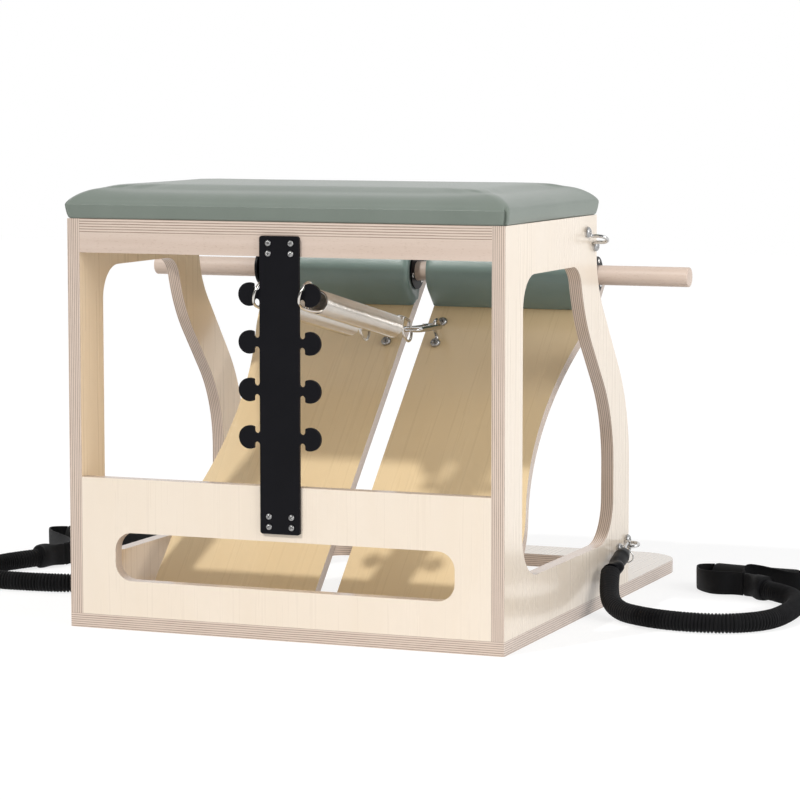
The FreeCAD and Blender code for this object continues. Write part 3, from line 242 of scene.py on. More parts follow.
def plywood(name, grain, through, start, thickness, stripes=6.5, tint=(1.0, 1.0, 1.0)):
    """Lacquered birch plywood: pale figured faces, and edges with the layers' dark lines."""
    material, paint, spot = open_finish(name)

    # tint makes lit and shaded copies of one board's face colour: painted light and painted shade.
    def painted_light_tinted(*colour):
        return tuple(part * share for part, share in zip(colour, tint))

    grain, through = Vector(grain), Vector(through)
    across = grain.cross(through)
    lie = spot.along(grain)
    side = spot.along(across)
    depth = spot.along(through)
    facing = spot.out("Normal").along(through)
    on_edge = paint.math("LESS_THAN", paint.math("ABSOLUTE", facing), 0.5)
    warp = paint.at(lie * 1.6, side * 5.0, depth * 2.0)
    drift = noise(paint, warp, 1.3, 2.0)
    streak = paint.at(lie * 3.0, side * 150.0, depth * 40.0)
    fibre = noise(paint, streak, 1.0, 3.0, 0.6)
    figure = paint.math("SINE", side * 95.0 + drift * 34.0 + lie * 3.0)
    figure = paint.math("POWER", figure * 0.5 + 0.5, 5.0)
    bloom = noise(paint, warp, 2.4, 2.0, 0.5, 0.4)
    shade_share = fibre * 0.13 + figure * 0.03 + bloom * 0.40 + 0.10
    face = paint.ramp(shade_share, (0.12, painted_light_tinted(0.826, 0.734, 0.626)),
                      (0.42, painted_light_tinted(0.797, 0.694, 0.572)), (0.80, painted_light_tinted(0.725, 0.601, 0.460)))
    wander = paint.at(lie * 9.0, side * 9.0, depth * 9.0)
    wobble = noise(paint, wander, 2.0, 2.0)
    layer = (depth - start) * (stripes / thickness) + (wobble - 0.5) * 0.22
    band = paint.math("ABSOLUTE", paint.math("FRACT", layer) - 0.5) * 2.0
    long_run = paint.at(lie * 30.0, side * 30.0, depth * 900.0)
    layer_tone = noise(paint, long_run, 1.0, 2.0)
    fine_run = paint.at(lie * 420.0, side * 420.0, depth * 1500.0)
    pores = noise(paint, fine_run, 1.0, 2.0, 0.7)
    dark_share = paint.math("MAXIMUM", (0.62 - band) * 2.4, 0.0)
    dark_share = paint.math("SMOOTH_MIN", dark_share, 1.0, 0.2)
    tone = dark_share * (0.45 + layer_tone * 0.65) + (pores - 0.5) * 0.28 + 0.08
    edge = paint.ramp(tone, (0.0, (0.700, 0.590, 0.505)), (0.35, (0.610, 0.490, 0.410)),
                      (1.0, (0.270, 0.190, 0.145)))
    colour = paint.mix(on_edge, face, edge)
    gloss = 0.24 + fibre * 0.08 + on_edge * 0.12
    height = fibre * (1 - on_edge) * 0.12 + on_edge * (pores * 0.5 - dark_share * 0.5)
    raised = paint.bump(height, 0.25)
    return close_finish(material, paint, {
        "Base Color": colour, "Roughness": gloss, "Normal": raised, "Specular IOR Level": 0.42,
        "Coat Weight": 0.5, "Coat Roughness": 0.12})


def dress(name, material):
    slots = nodes[name].material_slots
    if not slots:
        nodes[name].data.materials.append(material)
    for slot in slots:
        slot.material = material


# The base's face colour is a paler, cooler copy of the birch: painted light for its lit top.
base_birch_lit = plywood("birch_base", (0, 1, 0), (0, 0, 1), 0.0, 0.019, 6.5, (1.06, 1.08, 1.12))
dress("base_board", base_birch_lit)


# Side panels: 18 mm birch plywood, routed with the window and the sweeping front leg. They stand
# on the base, screwed from below, and hold the seat board and rails on dowels.

# The left panel's face colour is a warmer copy of the birch: painted shade for its shaded inner
# face.
left_birch_shaded = plywood("birch_left_side", (0, 0, 1), (1, 0, 0), -0.310, 0.018, 6.5,
                     (1.10, 1.0, 0.85))
right_birch = plywood("birch_right_side", (0, 0, 1), (1, 0, 0), 0.292, 0.018)
dress("left_side_panel", left_birch_shaded)
dress("right_side_panel", right_birch)


# Seat board and rear panel: birch plywood between the side panels. The seat board shows its
# layers to the rear, and the rear panel carries the long rounded slot.

seat_birch = plywood("birch_seat_board", (1, 0, 0), (0, 0, 1), 0.531, 0.019, 5.5)
rear_birch = plywood("birch_rear_panel", (0, 0, 1), (0, 1, 0), -0.1476, 0.018)
dress("seat_board", seat_birch)
dress("rear_panel", rear_birch)
dress("seat_cushion_base", seat_birch)


# Rail, frame dowels: planed pinkish beech with its short ray flecks, glued under the seat board's
# rear edge and into the panels.

def beech(name, grain):
    """Planed beech: even pinkish wood with short dark flecks along the grain."""
    material, paint, spot = open_finish(name)
    grain = Vector(grain)
    one = Vector((0, 0, 1)) if abs(grain.z) < 0.9 else Vector((0, 1, 0))
    two = grain.cross(one)
    lie = spot.along(grain)
    first = spot.along(one)
    second = spot.along(two)
    long_run = paint.at(lie * 4.0, first * 90.0, second * 90.0)
    growth = noise(paint, long_run, 1.0, 3.0, 0.55)
    short_run = paint.at(lie * 180.0, first * 900.0, second * 900.0)
    fleck = (noise(paint, short_run, 1.0, 1.0) - 0.60) * 7.0
    fleck = paint.math("SMOOTH_MIN", paint.math("MAXIMUM", fleck, 0.0), 1.0, 0.1)
    share = growth * 0.75 + fleck * 0.30
    colour = paint.ramp(share, (0.20, (0.650, 0.535, 0.460)), (0.55, (0.590, 0.470, 0.390)),
                        (1.0, (0.440, 0.310, 0.240)))
    raised = paint.bump(growth - fleck * 0.4, 0.18)
    return close_finish(material, paint, {
        "Base Color": colour, "Roughness": 0.42 + growth * 0.12, "Normal": raised,
        "Specular IOR Level": 0.42})


cross_beech = beech("beech_rail", (1, 0, 0))
dress("rear_rail", cross_beech)
dress("frame_dowels", cross_beech)


# Base screws, hinge leaves, pins and hinge screws: zinc-plated steel hardware on the underside,
# bought in and screwed on.

def plated(name, colour, roughness, streak=0.06):
    """Plated steel: an even metal with fine rubbing marks."""
    material, paint, spot = open_finish(name)
    rub = noise(paint, spot, 420.0, 3.0, 0.6)
    cloud = noise(paint, spot, 60.0, 2.0)
    light = tuple(min(1.0, c * 1.04) for c in colour)
    dark = tuple(c * 0.88 for c in colour)
    tint = paint.mix(cloud, (*light, 1), (*dark, 1))
    return close_finish(material, paint, {
        "Base Color": tint, "Metallic": 1.0, "Roughness": roughness + (rub - 0.5) * streak})


zinc = plated("zinc_plate", (0.62, 0.63, 0.64), 0.36, 0.12)
for name in ("base_screws", "hinge_base_leaves", "hinge_base_screws", "hinge_pins"):
    dress(name, zinc)


# Hook plate: 4.5 mm laser-cut steel, powder-coated matt black, with four round-headed hooks a
# side. Eight pan-head screws hold it to the rail and the rear panel.

def black_coat(name, roughness, grit):
    """Powder coat: near black with a faint orange-peel surface."""
    material, paint, spot = open_finish(name)
    peel = noise(paint, spot, 900.0, 2.0, 0.5)
    cloud = noise(paint, spot, 30.0, 2.0)
    tint = paint.mix(cloud, (0.0036, 0.0036, 0.0054, 1), (0.0056, 0.0056, 0.0080, 1))
    raised = paint.bump(peel, grit, 0.0003)
    return close_finish(material, paint, {
        "Base Color": tint, "Roughness": roughness + (peel - 0.5) * 0.1, "Normal": raised,
        "Specular IOR Level": 0.13})


plate_coat = black_coat("black_plate", 0.50, 0.12)
dress("spring_hook_plate", plate_coat)


def keep_formed(made):
    """Gives an object the plain mesh that its modifiers make, and returns the mesh."""
    done = bpy.data.meshes.new_from_object(
        made.evaluated_get(bpy.context.evaluated_depsgraph_get()))
    made.modifiers.clear()
    made.data = done
    return done


def node_maker(name, sizes):
    """A Geometry Nodes tree with named inputs. Returns it and its group input."""
    tree = bpy.data.node_groups.new(name, "GeometryNodeTree")
    tree.interface.new_socket("Geometry", in_out="INPUT", socket_type="NodeSocketGeometry")
    for size in sizes:
        tree.interface.new_socket(size, in_out="INPUT", socket_type="NodeSocketFloat")
    tree.interface.new_socket("Finish", in_out="INPUT", socket_type="NodeSocketMaterial")
    tree.interface.new_socket("Geometry", in_out="OUTPUT", socket_type="NodeSocketGeometry")
    return tree, Shade(tree).add("NodeGroupInput")


def end_tree(given, shape):
    """Closes a tree: smooth, real geometry with its finish."""
    shape = given.add("GeometryNodeRealizeInstances", {}, {"Geometry": shape})
    shape = given.add("GeometryNodeSetShadeSmooth", {}, {"Geometry": shape})
    shape = given.add("GeometryNodeSetMaterial", {},
                      {"Geometry": shape, "Material": given.out("Finish")})
    given.add("NodeGroupOutput", {}, {"Geometry": shape})


def grown(name, mesh, tree, values, material):
    """Runs a tree on a mesh and returns the result as a plain mesh object."""
    made = put_in_scene(name, mesh)
    modifier = made.modifiers.new("maker", "NODES")
    modifier.node_group = tree
    for item in tree.interface.items_tree:
        if item.in_out == "INPUT" and item.name in values:
            modifier[item.identifier] = values[item.name]
        elif item.in_out == "INPUT" and item.name == "Finish":
            modifier[item.identifier] = material
    keep_formed(made)
    return made


cross_heads, given = node_maker("cross_head_screws",
                                ["Head radius", "Head height", "Recess width"])
ball = given.add("GeometryNodeMeshUVSphere", {}, {"Segments": 24, "Rings": 12, "Radius": 1.0})
stretch = given.at(given.out("Head radius"), given.out("Head radius"), given.out("Head height"))
dome = given.add("GeometryNodeTransform", {}, {"Geometry": ball, "Scale": stretch})
here = given.add("GeometryNodeInputPosition")
apart = given.add("ShaderNodeSeparateXYZ", {}, {0: here})
raised_z = given.math("MAXIMUM", apart.out("Z"), 0.0)
flat_under = given.at(apart.out("X"), apart.out("Y"), raised_z)
dome = given.add("GeometryNodeSetPosition", {}, {"Geometry": dome, "Position": flat_under})
slot_long = given.out("Head radius") * 1.15
slot_wide = given.out("Recess width")
slot_deep = given.out("Head height") * 1.1
lift = given.at(0.0, 0.0, given.out("Head height"))
for size in ((slot_long, slot_wide), (slot_wide, slot_long)):
    bar = given.add("GeometryNodeMeshCube", {}, {"Size": given.at(*size, slot_deep)})
    bar = given.add("GeometryNodeTransform", {}, {"Geometry": bar, "Translation": lift})
    dome = given.add("GeometryNodeMeshBoolean", {"operation": "DIFFERENCE"}, {0: dome, 1: bar})
turn = given.add("GeometryNodeInputNamedAttribute", {"data_type": "FLOAT_VECTOR"},
                 {"Name": "turn"})
turn = given.add("FunctionNodeEulerToRotation", {}, {0: turn})
heads = given.add("GeometryNodeInstanceOnPoints", {}, {
    "Points": given.out("Geometry"), "Instance": dome, "Rotation": turn})
end_tree(given, heads)


def loose_pieces(name):
    """The separate solids of a node, each as an array of its points."""
    work = bmesh.new()
    work.from_mesh(nodes[name].data)
    bmesh.ops.remove_doubles(work, verts=work.verts, dist=1e-6)
    left = set(work.verts)
    found = []
    while left:
        stack = [left.pop()]
        group = []
        while stack:
            vert = stack.pop()
            group.append(tuple(vert.co))
            for edge in vert.link_edges:
                other = edge.other_vert(vert)
                if other in left:
                    left.discard(other)
                    stack.append(other)
        found.append(np.array(group))
    work.free()
    return sorted(found, key=lambda p: tuple(np.round(p.mean(0), 4)))


def screw_heads(name, node, outward, radius, height, recess, material, body):
    """Domed cross-head screws over a node's own screws. outward gives each one's direction."""
    spots, turns = [], []
    for index, points in enumerate(loose_pieces(node)):
        away = Vector(outward(points.mean(0))).normalized()
        reach = points @ np.array(away)
        top = points[reach > reach.max() - 1e-4].mean(0)
        spots.append(tuple(Vector(top) - away * height))
        quat = away.to_track_quat("Z", "Y") @ Euler((0, 0, 0.4 + 1.9 * index)).to_quaternion()
        turns.append(tuple(quat.to_euler()))
    mesh = bpy.data.meshes.new(name)
    mesh.from_pydata(spots, [], [])
    kept = mesh.attributes.new("turn", "FLOAT_VECTOR", "POINT")
    kept.data.foreach_set("vector", np.array(turns, np.float32).ravel())
    made = grown(name, mesh, cross_heads, {
        "Head radius": radius, "Head height": height, "Recess width": recess}, material)
    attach(made, body)
    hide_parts(node)


bright_steel = plated("bright_screw_steel", (0.80, 0.80, 0.79), 0.20)
dull_steel = plated("dull_screw_steel", (0.42, 0.42, 0.42), 0.34)
screw_heads("plate_screws", "hook_plate_screws", lambda c: (0, -1, 0),
            radius=0.0042, height=0.0024, recess=0.0011, material=dull_steel, body="frame")


# Seat cushion: foam on a thin board under one sheet of sage-green vinyl, pulled down over the
# edges, folded at the corners and stapled underneath.

def vinyl(name, deep, pale):
    """Upholstery vinyl: sage green with a fine leather grain and a low sheen."""
    material, paint, spot = open_finish(name)
    cells = paint.add("ShaderNodeTexVoronoi", {"feature": "DISTANCE_TO_EDGE"},
                      {"Vector": spot, "Scale": 900.0}, 0)
    creases = paint.math("SMOOTH_MIN", cells * 6.0, 1.0, 0.3)
    cloud = noise(paint, spot, 14.0, 3.0)
    fine = noise(paint, spot, 700.0, 2.0)
    tone = cloud * 0.7 + fine * 0.3
    colour = paint.ramp(tone, (0.25, deep), (0.75, pale))
    raised = paint.bump(creases, 0.14, 0.0003)
    return close_finish(material, paint, {
        "Base Color": colour, "Roughness": 0.29 + (1 - creases) * 0.06, "Normal": raised,
        "Specular IOR Level": 0.45})


sage_vinyl = vinyl("sage_vinyl", (0.158, 0.190, 0.162), (0.186, 0.220, 0.190))


blow_frames = 20
cloth_settings = {
    "quality": 5, "mass": 0.3, "tension_stiffness": 20, "compression_stiffness": 20,
    "shear_stiffness": 8, "bending_stiffness": 1.0, "use_pressure": True,
    "uniform_pressure_force": 4.0, "vertex_group_mass": "held"}


def blow_up(made, held, cap):
    """Blows a soft cover up as cloth over the foam: held points stay, others move up to cap."""
    mesh = made.data
    count = len(mesh.vertices)
    start = np.zeros(count * 3, np.float32)
    mesh.vertices.foreach_get("co", start)
    start = start.reshape(-1, 3)
    group = made.vertex_groups.new(name="held")
    for index in np.nonzero(held > 0.01)[0]:
        group.add([int(index)], float(held[index]), "REPLACE")
    cloth = made.modifiers.new("cloth", "CLOTH")
    for setting, value in cloth_settings.items():
        setattr(cloth.settings, setting, value)
    cloth.settings.effector_weights.gravity = 0
    cloth.collision_settings.use_collision = False
    cloth.point_cache.frame_start = 1
    cloth.point_cache.frame_end = blow_frames
    for step in range(1, blow_frames + 1):
        scene.frame_set(step)
    blown = made.evaluated_get(bpy.context.evaluated_depsgraph_get()).data
    swollen = np.zeros(count * 3, np.float32)
    blown.vertices.foreach_get("co", swollen)
    move = swollen.reshape(-1, 3) - start
    far = np.linalg.norm(move, axis=1)
    move *= np.minimum(1.0, cap / np.maximum(far, 1e-9))[:, None]
    made.modifiers.clear()
    scene.frame_set(1)
    made.vertex_groups.clear()
    mesh.vertices.foreach_set("co", (start + move).astype(np.float32).ravel())
    mesh.update()
    smooth = made.modifiers.new("smooth", "SUBSURF")
    smooth.levels = 1
    smooth.render_levels = 1


def finish_soft(made, material):
    """Keeps the smoothed form as a plain mesh with its finish."""
    done = keep_formed(made)
    done.materials.clear()
    done.materials.append(material)
    done.polygons.foreach_set("use_smooth", np.ones(len(done.polygons), bool))


def from_work(name, work):
    """Ends work on a mesh and puts it in the scene."""
    mesh = bpy.data.meshes.new(name)
    work.to_mesh(mesh)
    work.free()
    return put_in_scene(name, mesh)


def clamp(value):
    return min(max(value, 0.0), 1.0)


def ease(value):
    share = clamp(value)
    return share * share * (3 - 2 * share)


cushion_low, cushion_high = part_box("seat_cushion")
band_profile = [(0.0, -7.0, -7.0), (0.3, -2.6, -2.6), (1.4, -0.9, -0.9), (4.0, -0.3, 0.0),
                (8.0, 0.8, 1.0), (12.5, 1.8, 1.7), (16.5, 2.6, 2.1), (19.0, 3.0, 2.2)]
band_height = 19
crown_top = 25.0
crown_shoulder = 19.0
crown_power = 1.17
swell, swell_reach = 0.7, 70
round_from = [-3, -2.2, -0.8, 1.2, 3.6, 6.5, 9.5, 13, 17, 21, 25, 30, 190]
round_to = [-2.2, -1.9, -1.6, -0.6, 1.2, 4.0, 7.2, 11, 15.4, 20, 24.4, 30, 190]
crown_rows = [-2.2, -0.8, 1.2, 3.6, 6.5, 9.5, 13, 17, 21, 25, 30, 35, 41, 47, 53, 60, 67, 74, 81,
              89, 97, 105, 113, 121, 129, 137, 145, 153, 161, 169, 177, 183.5]
long_count, short_count, corner_count = 80, 48, 7
corner_radius = 0.010
outer_growth, inner_growth = 0.06, 0.45
slack = 0.0022
puff = 0.0008
side_pull = 0.0016
fold_depth = 0.0050
under_rows = [183.5, 150, 110, 70, 30]


def cushion_ring(height, outset, end_outset, sag=0.0, hold=1.0):
    """One level line of the cover, and how far each of its points may rise."""
    half_x = (cushion_high.x - cushion_low.x) / 2 + end_outset
    half_y = (cushion_high.y - cushion_low.y) / 2 + outset
    radius = (corner_radius + outer_growth * max(-outset - 0.003, 0.0)
              + inner_growth * max(-outset - 0.030, 0.0))
    radius = min(radius, half_y * 0.8)
    fold = fold_depth * clamp((0.004 + outset) / 0.004) if height > 0.001 else 0.0
    found = []
    for quarter in range(4):
        turn = Matrix.Rotation(quarter * math.pi / 2, 2)
        reach, width = (half_y, half_x) if quarter % 2 == 0 else (half_x, half_y)
        count = long_count if quarter % 2 == 0 else short_count
        for step in range(count):
            x = (width - radius) * (2 * step / (count - 1) - 1)
            drawn = side_pull * (1 - (x / width) ** 2)
            found.append(turn @ Vector((x, -reach + drawn)))
        for step in range(corner_count):
            angle = math.pi / 2 * (step + 1) / (corner_count + 1)
            inside = radius - (fold if step == corner_count // 2 else 0.0)
            found.append(turn @ Vector((width - radius + inside * math.sin(angle),
                                        -reach + radius - inside * math.cos(angle))))
    middle = (cushion_high + cushion_low) / 2
    give = [1 - hold * min(abs(p.x * p.y) / (half_x * half_y), 1.0) ** 6 for p in found]
    return ([(middle.x + p.x, middle.y + p.y, cushion_low.z + height - sag * share)
             for p, share in zip(found, give)],
            [(sag + puff) * share if sag else 0.0 for share in give])


rows = [cushion_ring(0.0, -inset / 1000, -inset / 1000) for inset in under_rows]
rows += [cushion_ring(height / 1000, outset / 1000, end_outset / 1000)
         for height, outset, end_outset in band_profile]
held = [1.0] * len(rows)
for inset in crown_rows:
    share = ease((inset + 3) / 45)
    height = band_height
    height += crown_top * (1 - math.exp(-((inset + 3) / crown_shoulder) ** crown_power))
    height += swell * (1 - math.exp(-(max(inset, 0) / swell_reach) ** 2))
    end_inset = np.interp(inset, round_from, round_to)
    hold = clamp((75 - inset) / 50)
    rows.append(cushion_ring(height / 1000, -inset / 1000, -end_inset / 1000, slack * share, hold))
    held.append(max(0.0, 1 - (inset + 3) / 9))
ring_size = len(rows[0][0])
work = bmesh.new()
verts = [[work.verts.new(p) for p in row] for row, give in rows]
for lower, upper in zip(verts, verts[1:]):
    for index in range(ring_size):
        after = (index + 1) % ring_size
        work.faces.new((lower[index], lower[after], upper[after], upper[index]))
end_count = short_count + 2 * corner_count
for closed in (verts[0], verts[-1]):
    first = ring_size - end_count // 2
    near = [closed[(first + step) % ring_size] for step in range(ring_size // 2)]
    far = [closed[first - 1 - step] for step in range(ring_size // 2)]
    for step in range(ring_size // 2 - 1):
        work.faces.new((near[step], near[step + 1], far[step + 1], far[step]))
bmesh.ops.recalc_face_normals(work, faces=work.faces)
crease = work.edges.layers.float.new("crease_edge")
break_row = len(under_rows) + len(band_profile) - 1
for row, sharp in ((len(under_rows) + 1, 0.6), (break_row, 0.75)):
    for index in range(ring_size):
        along_end = index % (ring_size // 2) > long_count + corner_count // 2
        edge = work.edges.get((verts[row][index], verts[row][(index + 1) % ring_size]))
        edge[crease] = 0.1 if along_end and row == break_row else sharp
for quarter in range(4):
    column = ((quarter + 1) // 2 * long_count + quarter // 2 * short_count + quarter * corner_count
              + (long_count if quarter % 2 == 0 else short_count) + corner_count // 2)
    for row in range(len(under_rows), break_row + 2):
        work.edges.get((verts[row][column], verts[row + 1][column]))[crease] = 1.0
cushion = from_work("seat_cushion_cover", work)
blow_up(cushion, np.repeat(held, ring_size), np.concatenate([give for row, give in rows]))
finish_soft(cushion, sage_vinyl)
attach(cushion, "frame")
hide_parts("seat_cushion")


# Wire eyes: bent chrome-plated steel wire with flattened feet, each held to a panel or a pedal by
# two dome-headed screws.

chrome = plated("bright_chrome_plate", (0.60, 0.595, 0.590), 0.10, 0.03)
for name in ("upper_panel_eyes", "lower_panel_eyes", "left_pedal_eye", "right_pedal_eye"):
    dress(name, chrome)
screw_heads("panel_eye_heads", "panel_eye_screws", lambda c: (1 if c[0] > 0 else -1, 0, 0),
            radius=0.0076, height=0.0054, recess=0.0016, material=dull_steel, body="frame")
pedal_up = (0, -math.sqrt(0.5), math.sqrt(0.5))
for side in ("left", "right"):
    screw_heads(side + "_pedal_eye_heads", side + "_pedal_eye_screws", lambda c: pedal_up,
                radius=0.0075, height=0.0052, recess=0.0016, material=dull_steel,
                body=side + "_pedal")


# Pedal boards: 15 mm birch plywood, waisted along the outer edge, hinged under the lower end.
# Their faces show the grain running up the board.

pedal_along = (0, math.sqrt(0.5), math.sqrt(0.5))
for side in ("left", "right"):
    # The pedal face colour is a darker, warmer copy of the birch: painted shade.
    pedal_birch_shaded = plywood("birch_" + side + "_pedal", pedal_along, pedal_up, 0.0144, 0.015, 5.5,
                          (0.95, 0.85, 0.62))
    dress(side + "_pedal_board", pedal_birch_shaded)
    for name in (side + "_pedal_hinge_leaves", side + "_pedal_hinge_screws"):
        dress(name, zinc)


# Pedal pads: foam rolls in the same vinyl on the upper end of each pedal, with the dowel running
# through. The cover is drawn round the roll and closed at the board.

dowel_axis = Vector((0, 0.374625, 0.457215))
pad_outer, pad_inner = 0.258, 0.016
rim_from, rim_over = 0.018, 0.020
outer_round, outer_draw = 0.030, 0.011
inner_round, inner_draw = 0.020, 0.006


def draw_in_ends(mesh):
    """Rounds the cover over towards the flanges at both ends of a pad."""
    for vert in mesh.vertices:
        away = vert.co - dowel_axis
        away.x = 0
        rim = clamp((away.length - rim_from) / rim_over) ** 1.2
        reach = abs(vert.co.x)
        outer = clamp((reach - (pad_outer - outer_round)) / outer_round)
        inner = clamp((pad_inner + inner_round - reach) / inner_round)
        vert.co.x -= math.copysign(rim * (outer_draw * outer - inner_draw * inner), vert.co.x)


# The pads get a cooler, greener copy of the sage vinyl: painted light that offsets the warm light
# the pedals bounce onto them.
pad_vinyl_painted_light = vinyl("sage_vinyl_pads_painted_light", (0.160, 0.224, 0.206), (0.188, 0.260, 0.240))
pad_voxel = 0.004
pad_slack = 0.0015
pad_cap = 0.004
board_top = 0.0005 + 0.0144 + 0.015
hold_fade = 0.003
for side in ("left", "right"):
    work = bmesh.new()
    work.from_mesh(nodes[side + "_pedal_pad"].data)
    bmesh.ops.remove_doubles(work, verts=work.verts, dist=1e-6)
    pad = from_work(side + "_pad_cover", work)
    remesh = pad.modifiers.new("even", "REMESH")
    remesh.mode = "VOXEL"
    remesh.voxel_size = pad_voxel
    even = keep_formed(pad)
    place = np.array([v.co for v in even.vertices])
    normal = np.array([v.normal for v in even.vertices])
    held = np.clip((board_top + hold_fade - place @ np.array(pedal_up)) / hold_fade, 0, 1)
    place -= normal * (pad_slack * (1 - held))[:, None]
    even.vertices.foreach_set("co", place.astype(np.float32).ravel())
    even.update()
    blow_up(pad, held, np.full(len(held), pad_cap))
    finish_soft(pad, pad_vinyl_painted_light)
    draw_in_ends(pad.data)
    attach(pad, side + "_pedal")
    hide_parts(side + "_pedal_pad")


# Pad flanges: black moulded discs that guide the dowel at both ends of each pad. Three small
# chromed screws hold each of them.

flange_black = black_coat("black_flange", 0.38, 0.06)
for side in ("left", "right"):
    dress(side + "_pad_flanges", flange_black)
    pad_low, pad_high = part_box(side + "_pedal_pad")
    pad_middle = (pad_low.x + pad_high.x) / 2
    screw_heads(side + "_flange_heads", side + "_flange_screws",
                lambda c: (1 if c[0] > pad_middle else -1, 0, 0), radius=0.0034,
                height=0.0018, recess=0.0009, material=bright_steel, body=side + "_pedal")


# Foot dowel: one turned beech rod, 28 mm thick, with rounded ends. It lies loose in both pads and
# slides to either side.

dress("foot_dowel", beech("beech_dowel", (1, 0, 0)))


# Springs: close-wound bright wire with a full loop at each end, from the top hooks to the
# carabiners. They stretch as the pedals go down.

coil_radius = 0.0144
loop_radius = 0.0176
wire_radius = 0.0019
loops_apart = 0.36407
rear_lead = 0.0400
front_lead = 0.0560
coil_turns = 66.25
coil_drop = 0.0029
loop_turn = 2.08 * math.pi
rear_lean, front_lean = math.radians(14), math.radians(-9)
link_angle = math.radians(-11.0303)
hook_centre = Vector((0.0322, -0.140057, 0.4551))

spring_maker, given = node_maker("close_wound_spring", [
    "Coil radius", "Loop radius", "Wire radius", "Turns", "Pitch", "Loop turn", "Rear lead",
    "Front lead", "Rear lean", "Front lean", "Coil drop"])
half_turn = given.out("Turns") * math.pi
half_all = half_turn + given.out("Loop turn")
points_a_turn = 26
count = given.math("ROUND", half_all * (2 * points_a_turn / (2 * math.pi)))
thread = given.add("GeometryNodeMeshLine", {}, {"Count": count})
step = given.add("GeometryNodeInputIndex")
angle = (step / (count - 1.0) - 0.5) * (half_all * 2.0)
way = given.math("SIGN", angle)
in_front = given.math("GREATER_THAN", angle, 0.0)
lead = given.out("Rear lead") * (1 - in_front) + given.out("Front lead") * in_front
lean = given.out("Rear lean") * (1 - in_front) + given.out("Front lean") * in_front
travel = given.math("ABSOLUTE", angle)
past = given.math("MAXIMUM", travel - half_turn, 0.0)
ramp = given.math("MINIMUM", past / (math.pi / 2), 1.0)
ramp = ramp * ramp * (3 - ramp * 2.0)
swing = ramp * (math.pi / 2)
radius = given.out("Coil radius") * (1 - ramp) + given.out("Loop radius") * ramp
turn_x = given.math("COSINE", angle) * radius
turn_z = given.math("SINE", angle) * radius - given.out("Coil drop") * (1 - ramp)
flat_x = turn_x * given.math("COSINE", swing)
lean = lean * ramp
along = (given.math("MINIMUM", travel, half_turn) * given.out("Pitch") / (2 * math.pi)
         + ramp * lead - turn_x * given.math("SINE", swing)) * way
wire_place = given.at(
    flat_x * given.math("COSINE", lean) + turn_z * given.math("SINE", lean), along,
    turn_z * given.math("COSINE", lean) - flat_x * given.math("SINE", lean))
thread = given.add("GeometryNodeSetPosition", {}, {"Geometry": thread, "Position": wire_place})
thread = given.add("GeometryNodeMeshToCurve", {}, {"Mesh": thread})
ring = given.add("GeometryNodeCurvePrimitiveCircle", {},
                 {"Resolution": 10, "Radius": given.out("Wire radius")})
wire = given.add("GeometryNodeCurveToMesh", {},
                 {"Curve": thread, "Profile Curve": ring, "Fill Caps": True})
end_tree(given, wire)

spring_wire = plated("bright_spring_wire", (0.72, 0.69, 0.65), 0.20, 0.05)
coil_length = loops_apart - rear_lead - front_lead
for side, sign in (("left", -1), ("right", 1)):
    seed_mesh = bpy.data.meshes.new(side + "_spring_wire")
    spring = grown(side + "_spring_coil", seed_mesh, spring_maker, {
        "Coil radius": coil_radius, "Loop radius": loop_radius, "Wire radius": wire_radius,
        "Turns": coil_turns, "Pitch": coil_length / coil_turns, "Loop turn": loop_turn,
        "Rear lead": rear_lead, "Front lead": front_lead, "Rear lean": rear_lean,
        "Front lean": front_lean, "Coil drop": coil_drop}, spring_wire)
    hook = Vector((sign * hook_centre.x, hook_centre.y, hook_centre.z))
    line_up = Matrix.Translation(hook) @ Matrix.Rotation(link_angle, 4, "X")
    spring.data.transform(line_up @ Matrix.Translation((0, rear_lead + coil_length / 2, 0)))
    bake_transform(spring)
    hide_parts(side + "_spring")


# Carabiners and snap hooks: bent and plated steel wire, each with a sprung gate on a rivet. They
# hang in the wire eyes. A split ring holds each cord's boot, and a thin ring ends its sleeve.

for side in ("left", "right"):
    for piece in ("_carabiner", "_carabiner_gate", "_snap_hook", "_snap_gate"):
        dress(side + piece, chrome)
dress("cord_split_rings", chrome)
dress("cord_end_rings", zinc)


# Arm cords: an elastic core in a gathered black sleeve, lying on the floor from the rubber boot at
# the snap hook to the handle's cup. Two bands of black webbing lead from there to a foam grip.

def smooth_line(name, points, fineness=16):
    """Points read from a smooth spline that a route's points steer."""
    curve = bpy.data.curves.new(name, "CURVE")
    curve.dimensions = "3D"
    curve.resolution_u = fineness
    spline = curve.splines.new("NURBS")
    spline.points.add(len(points) - 1)
    for target, point in zip(spline.points, points):
        target.co = (*point, 1)
    spline.order_u = 3
    spline.use_endpoint_u = True
    holder = put_in_scene(name, curve)
    line = bpy.data.meshes.new_from_object(
        holder.evaluated_get(bpy.context.evaluated_depsgraph_get()))
    found = [tuple(v.co) for v in line.vertices]
    bpy.data.objects.remove(holder)
    return found


rear_face = 147.6


def from_rear(points):
    """Places given in mm from the middle, the frame's rear face and the floor."""
    return [(x / 1000, (y - rear_face) / 1000, z / 1000) for x, y, z in points]


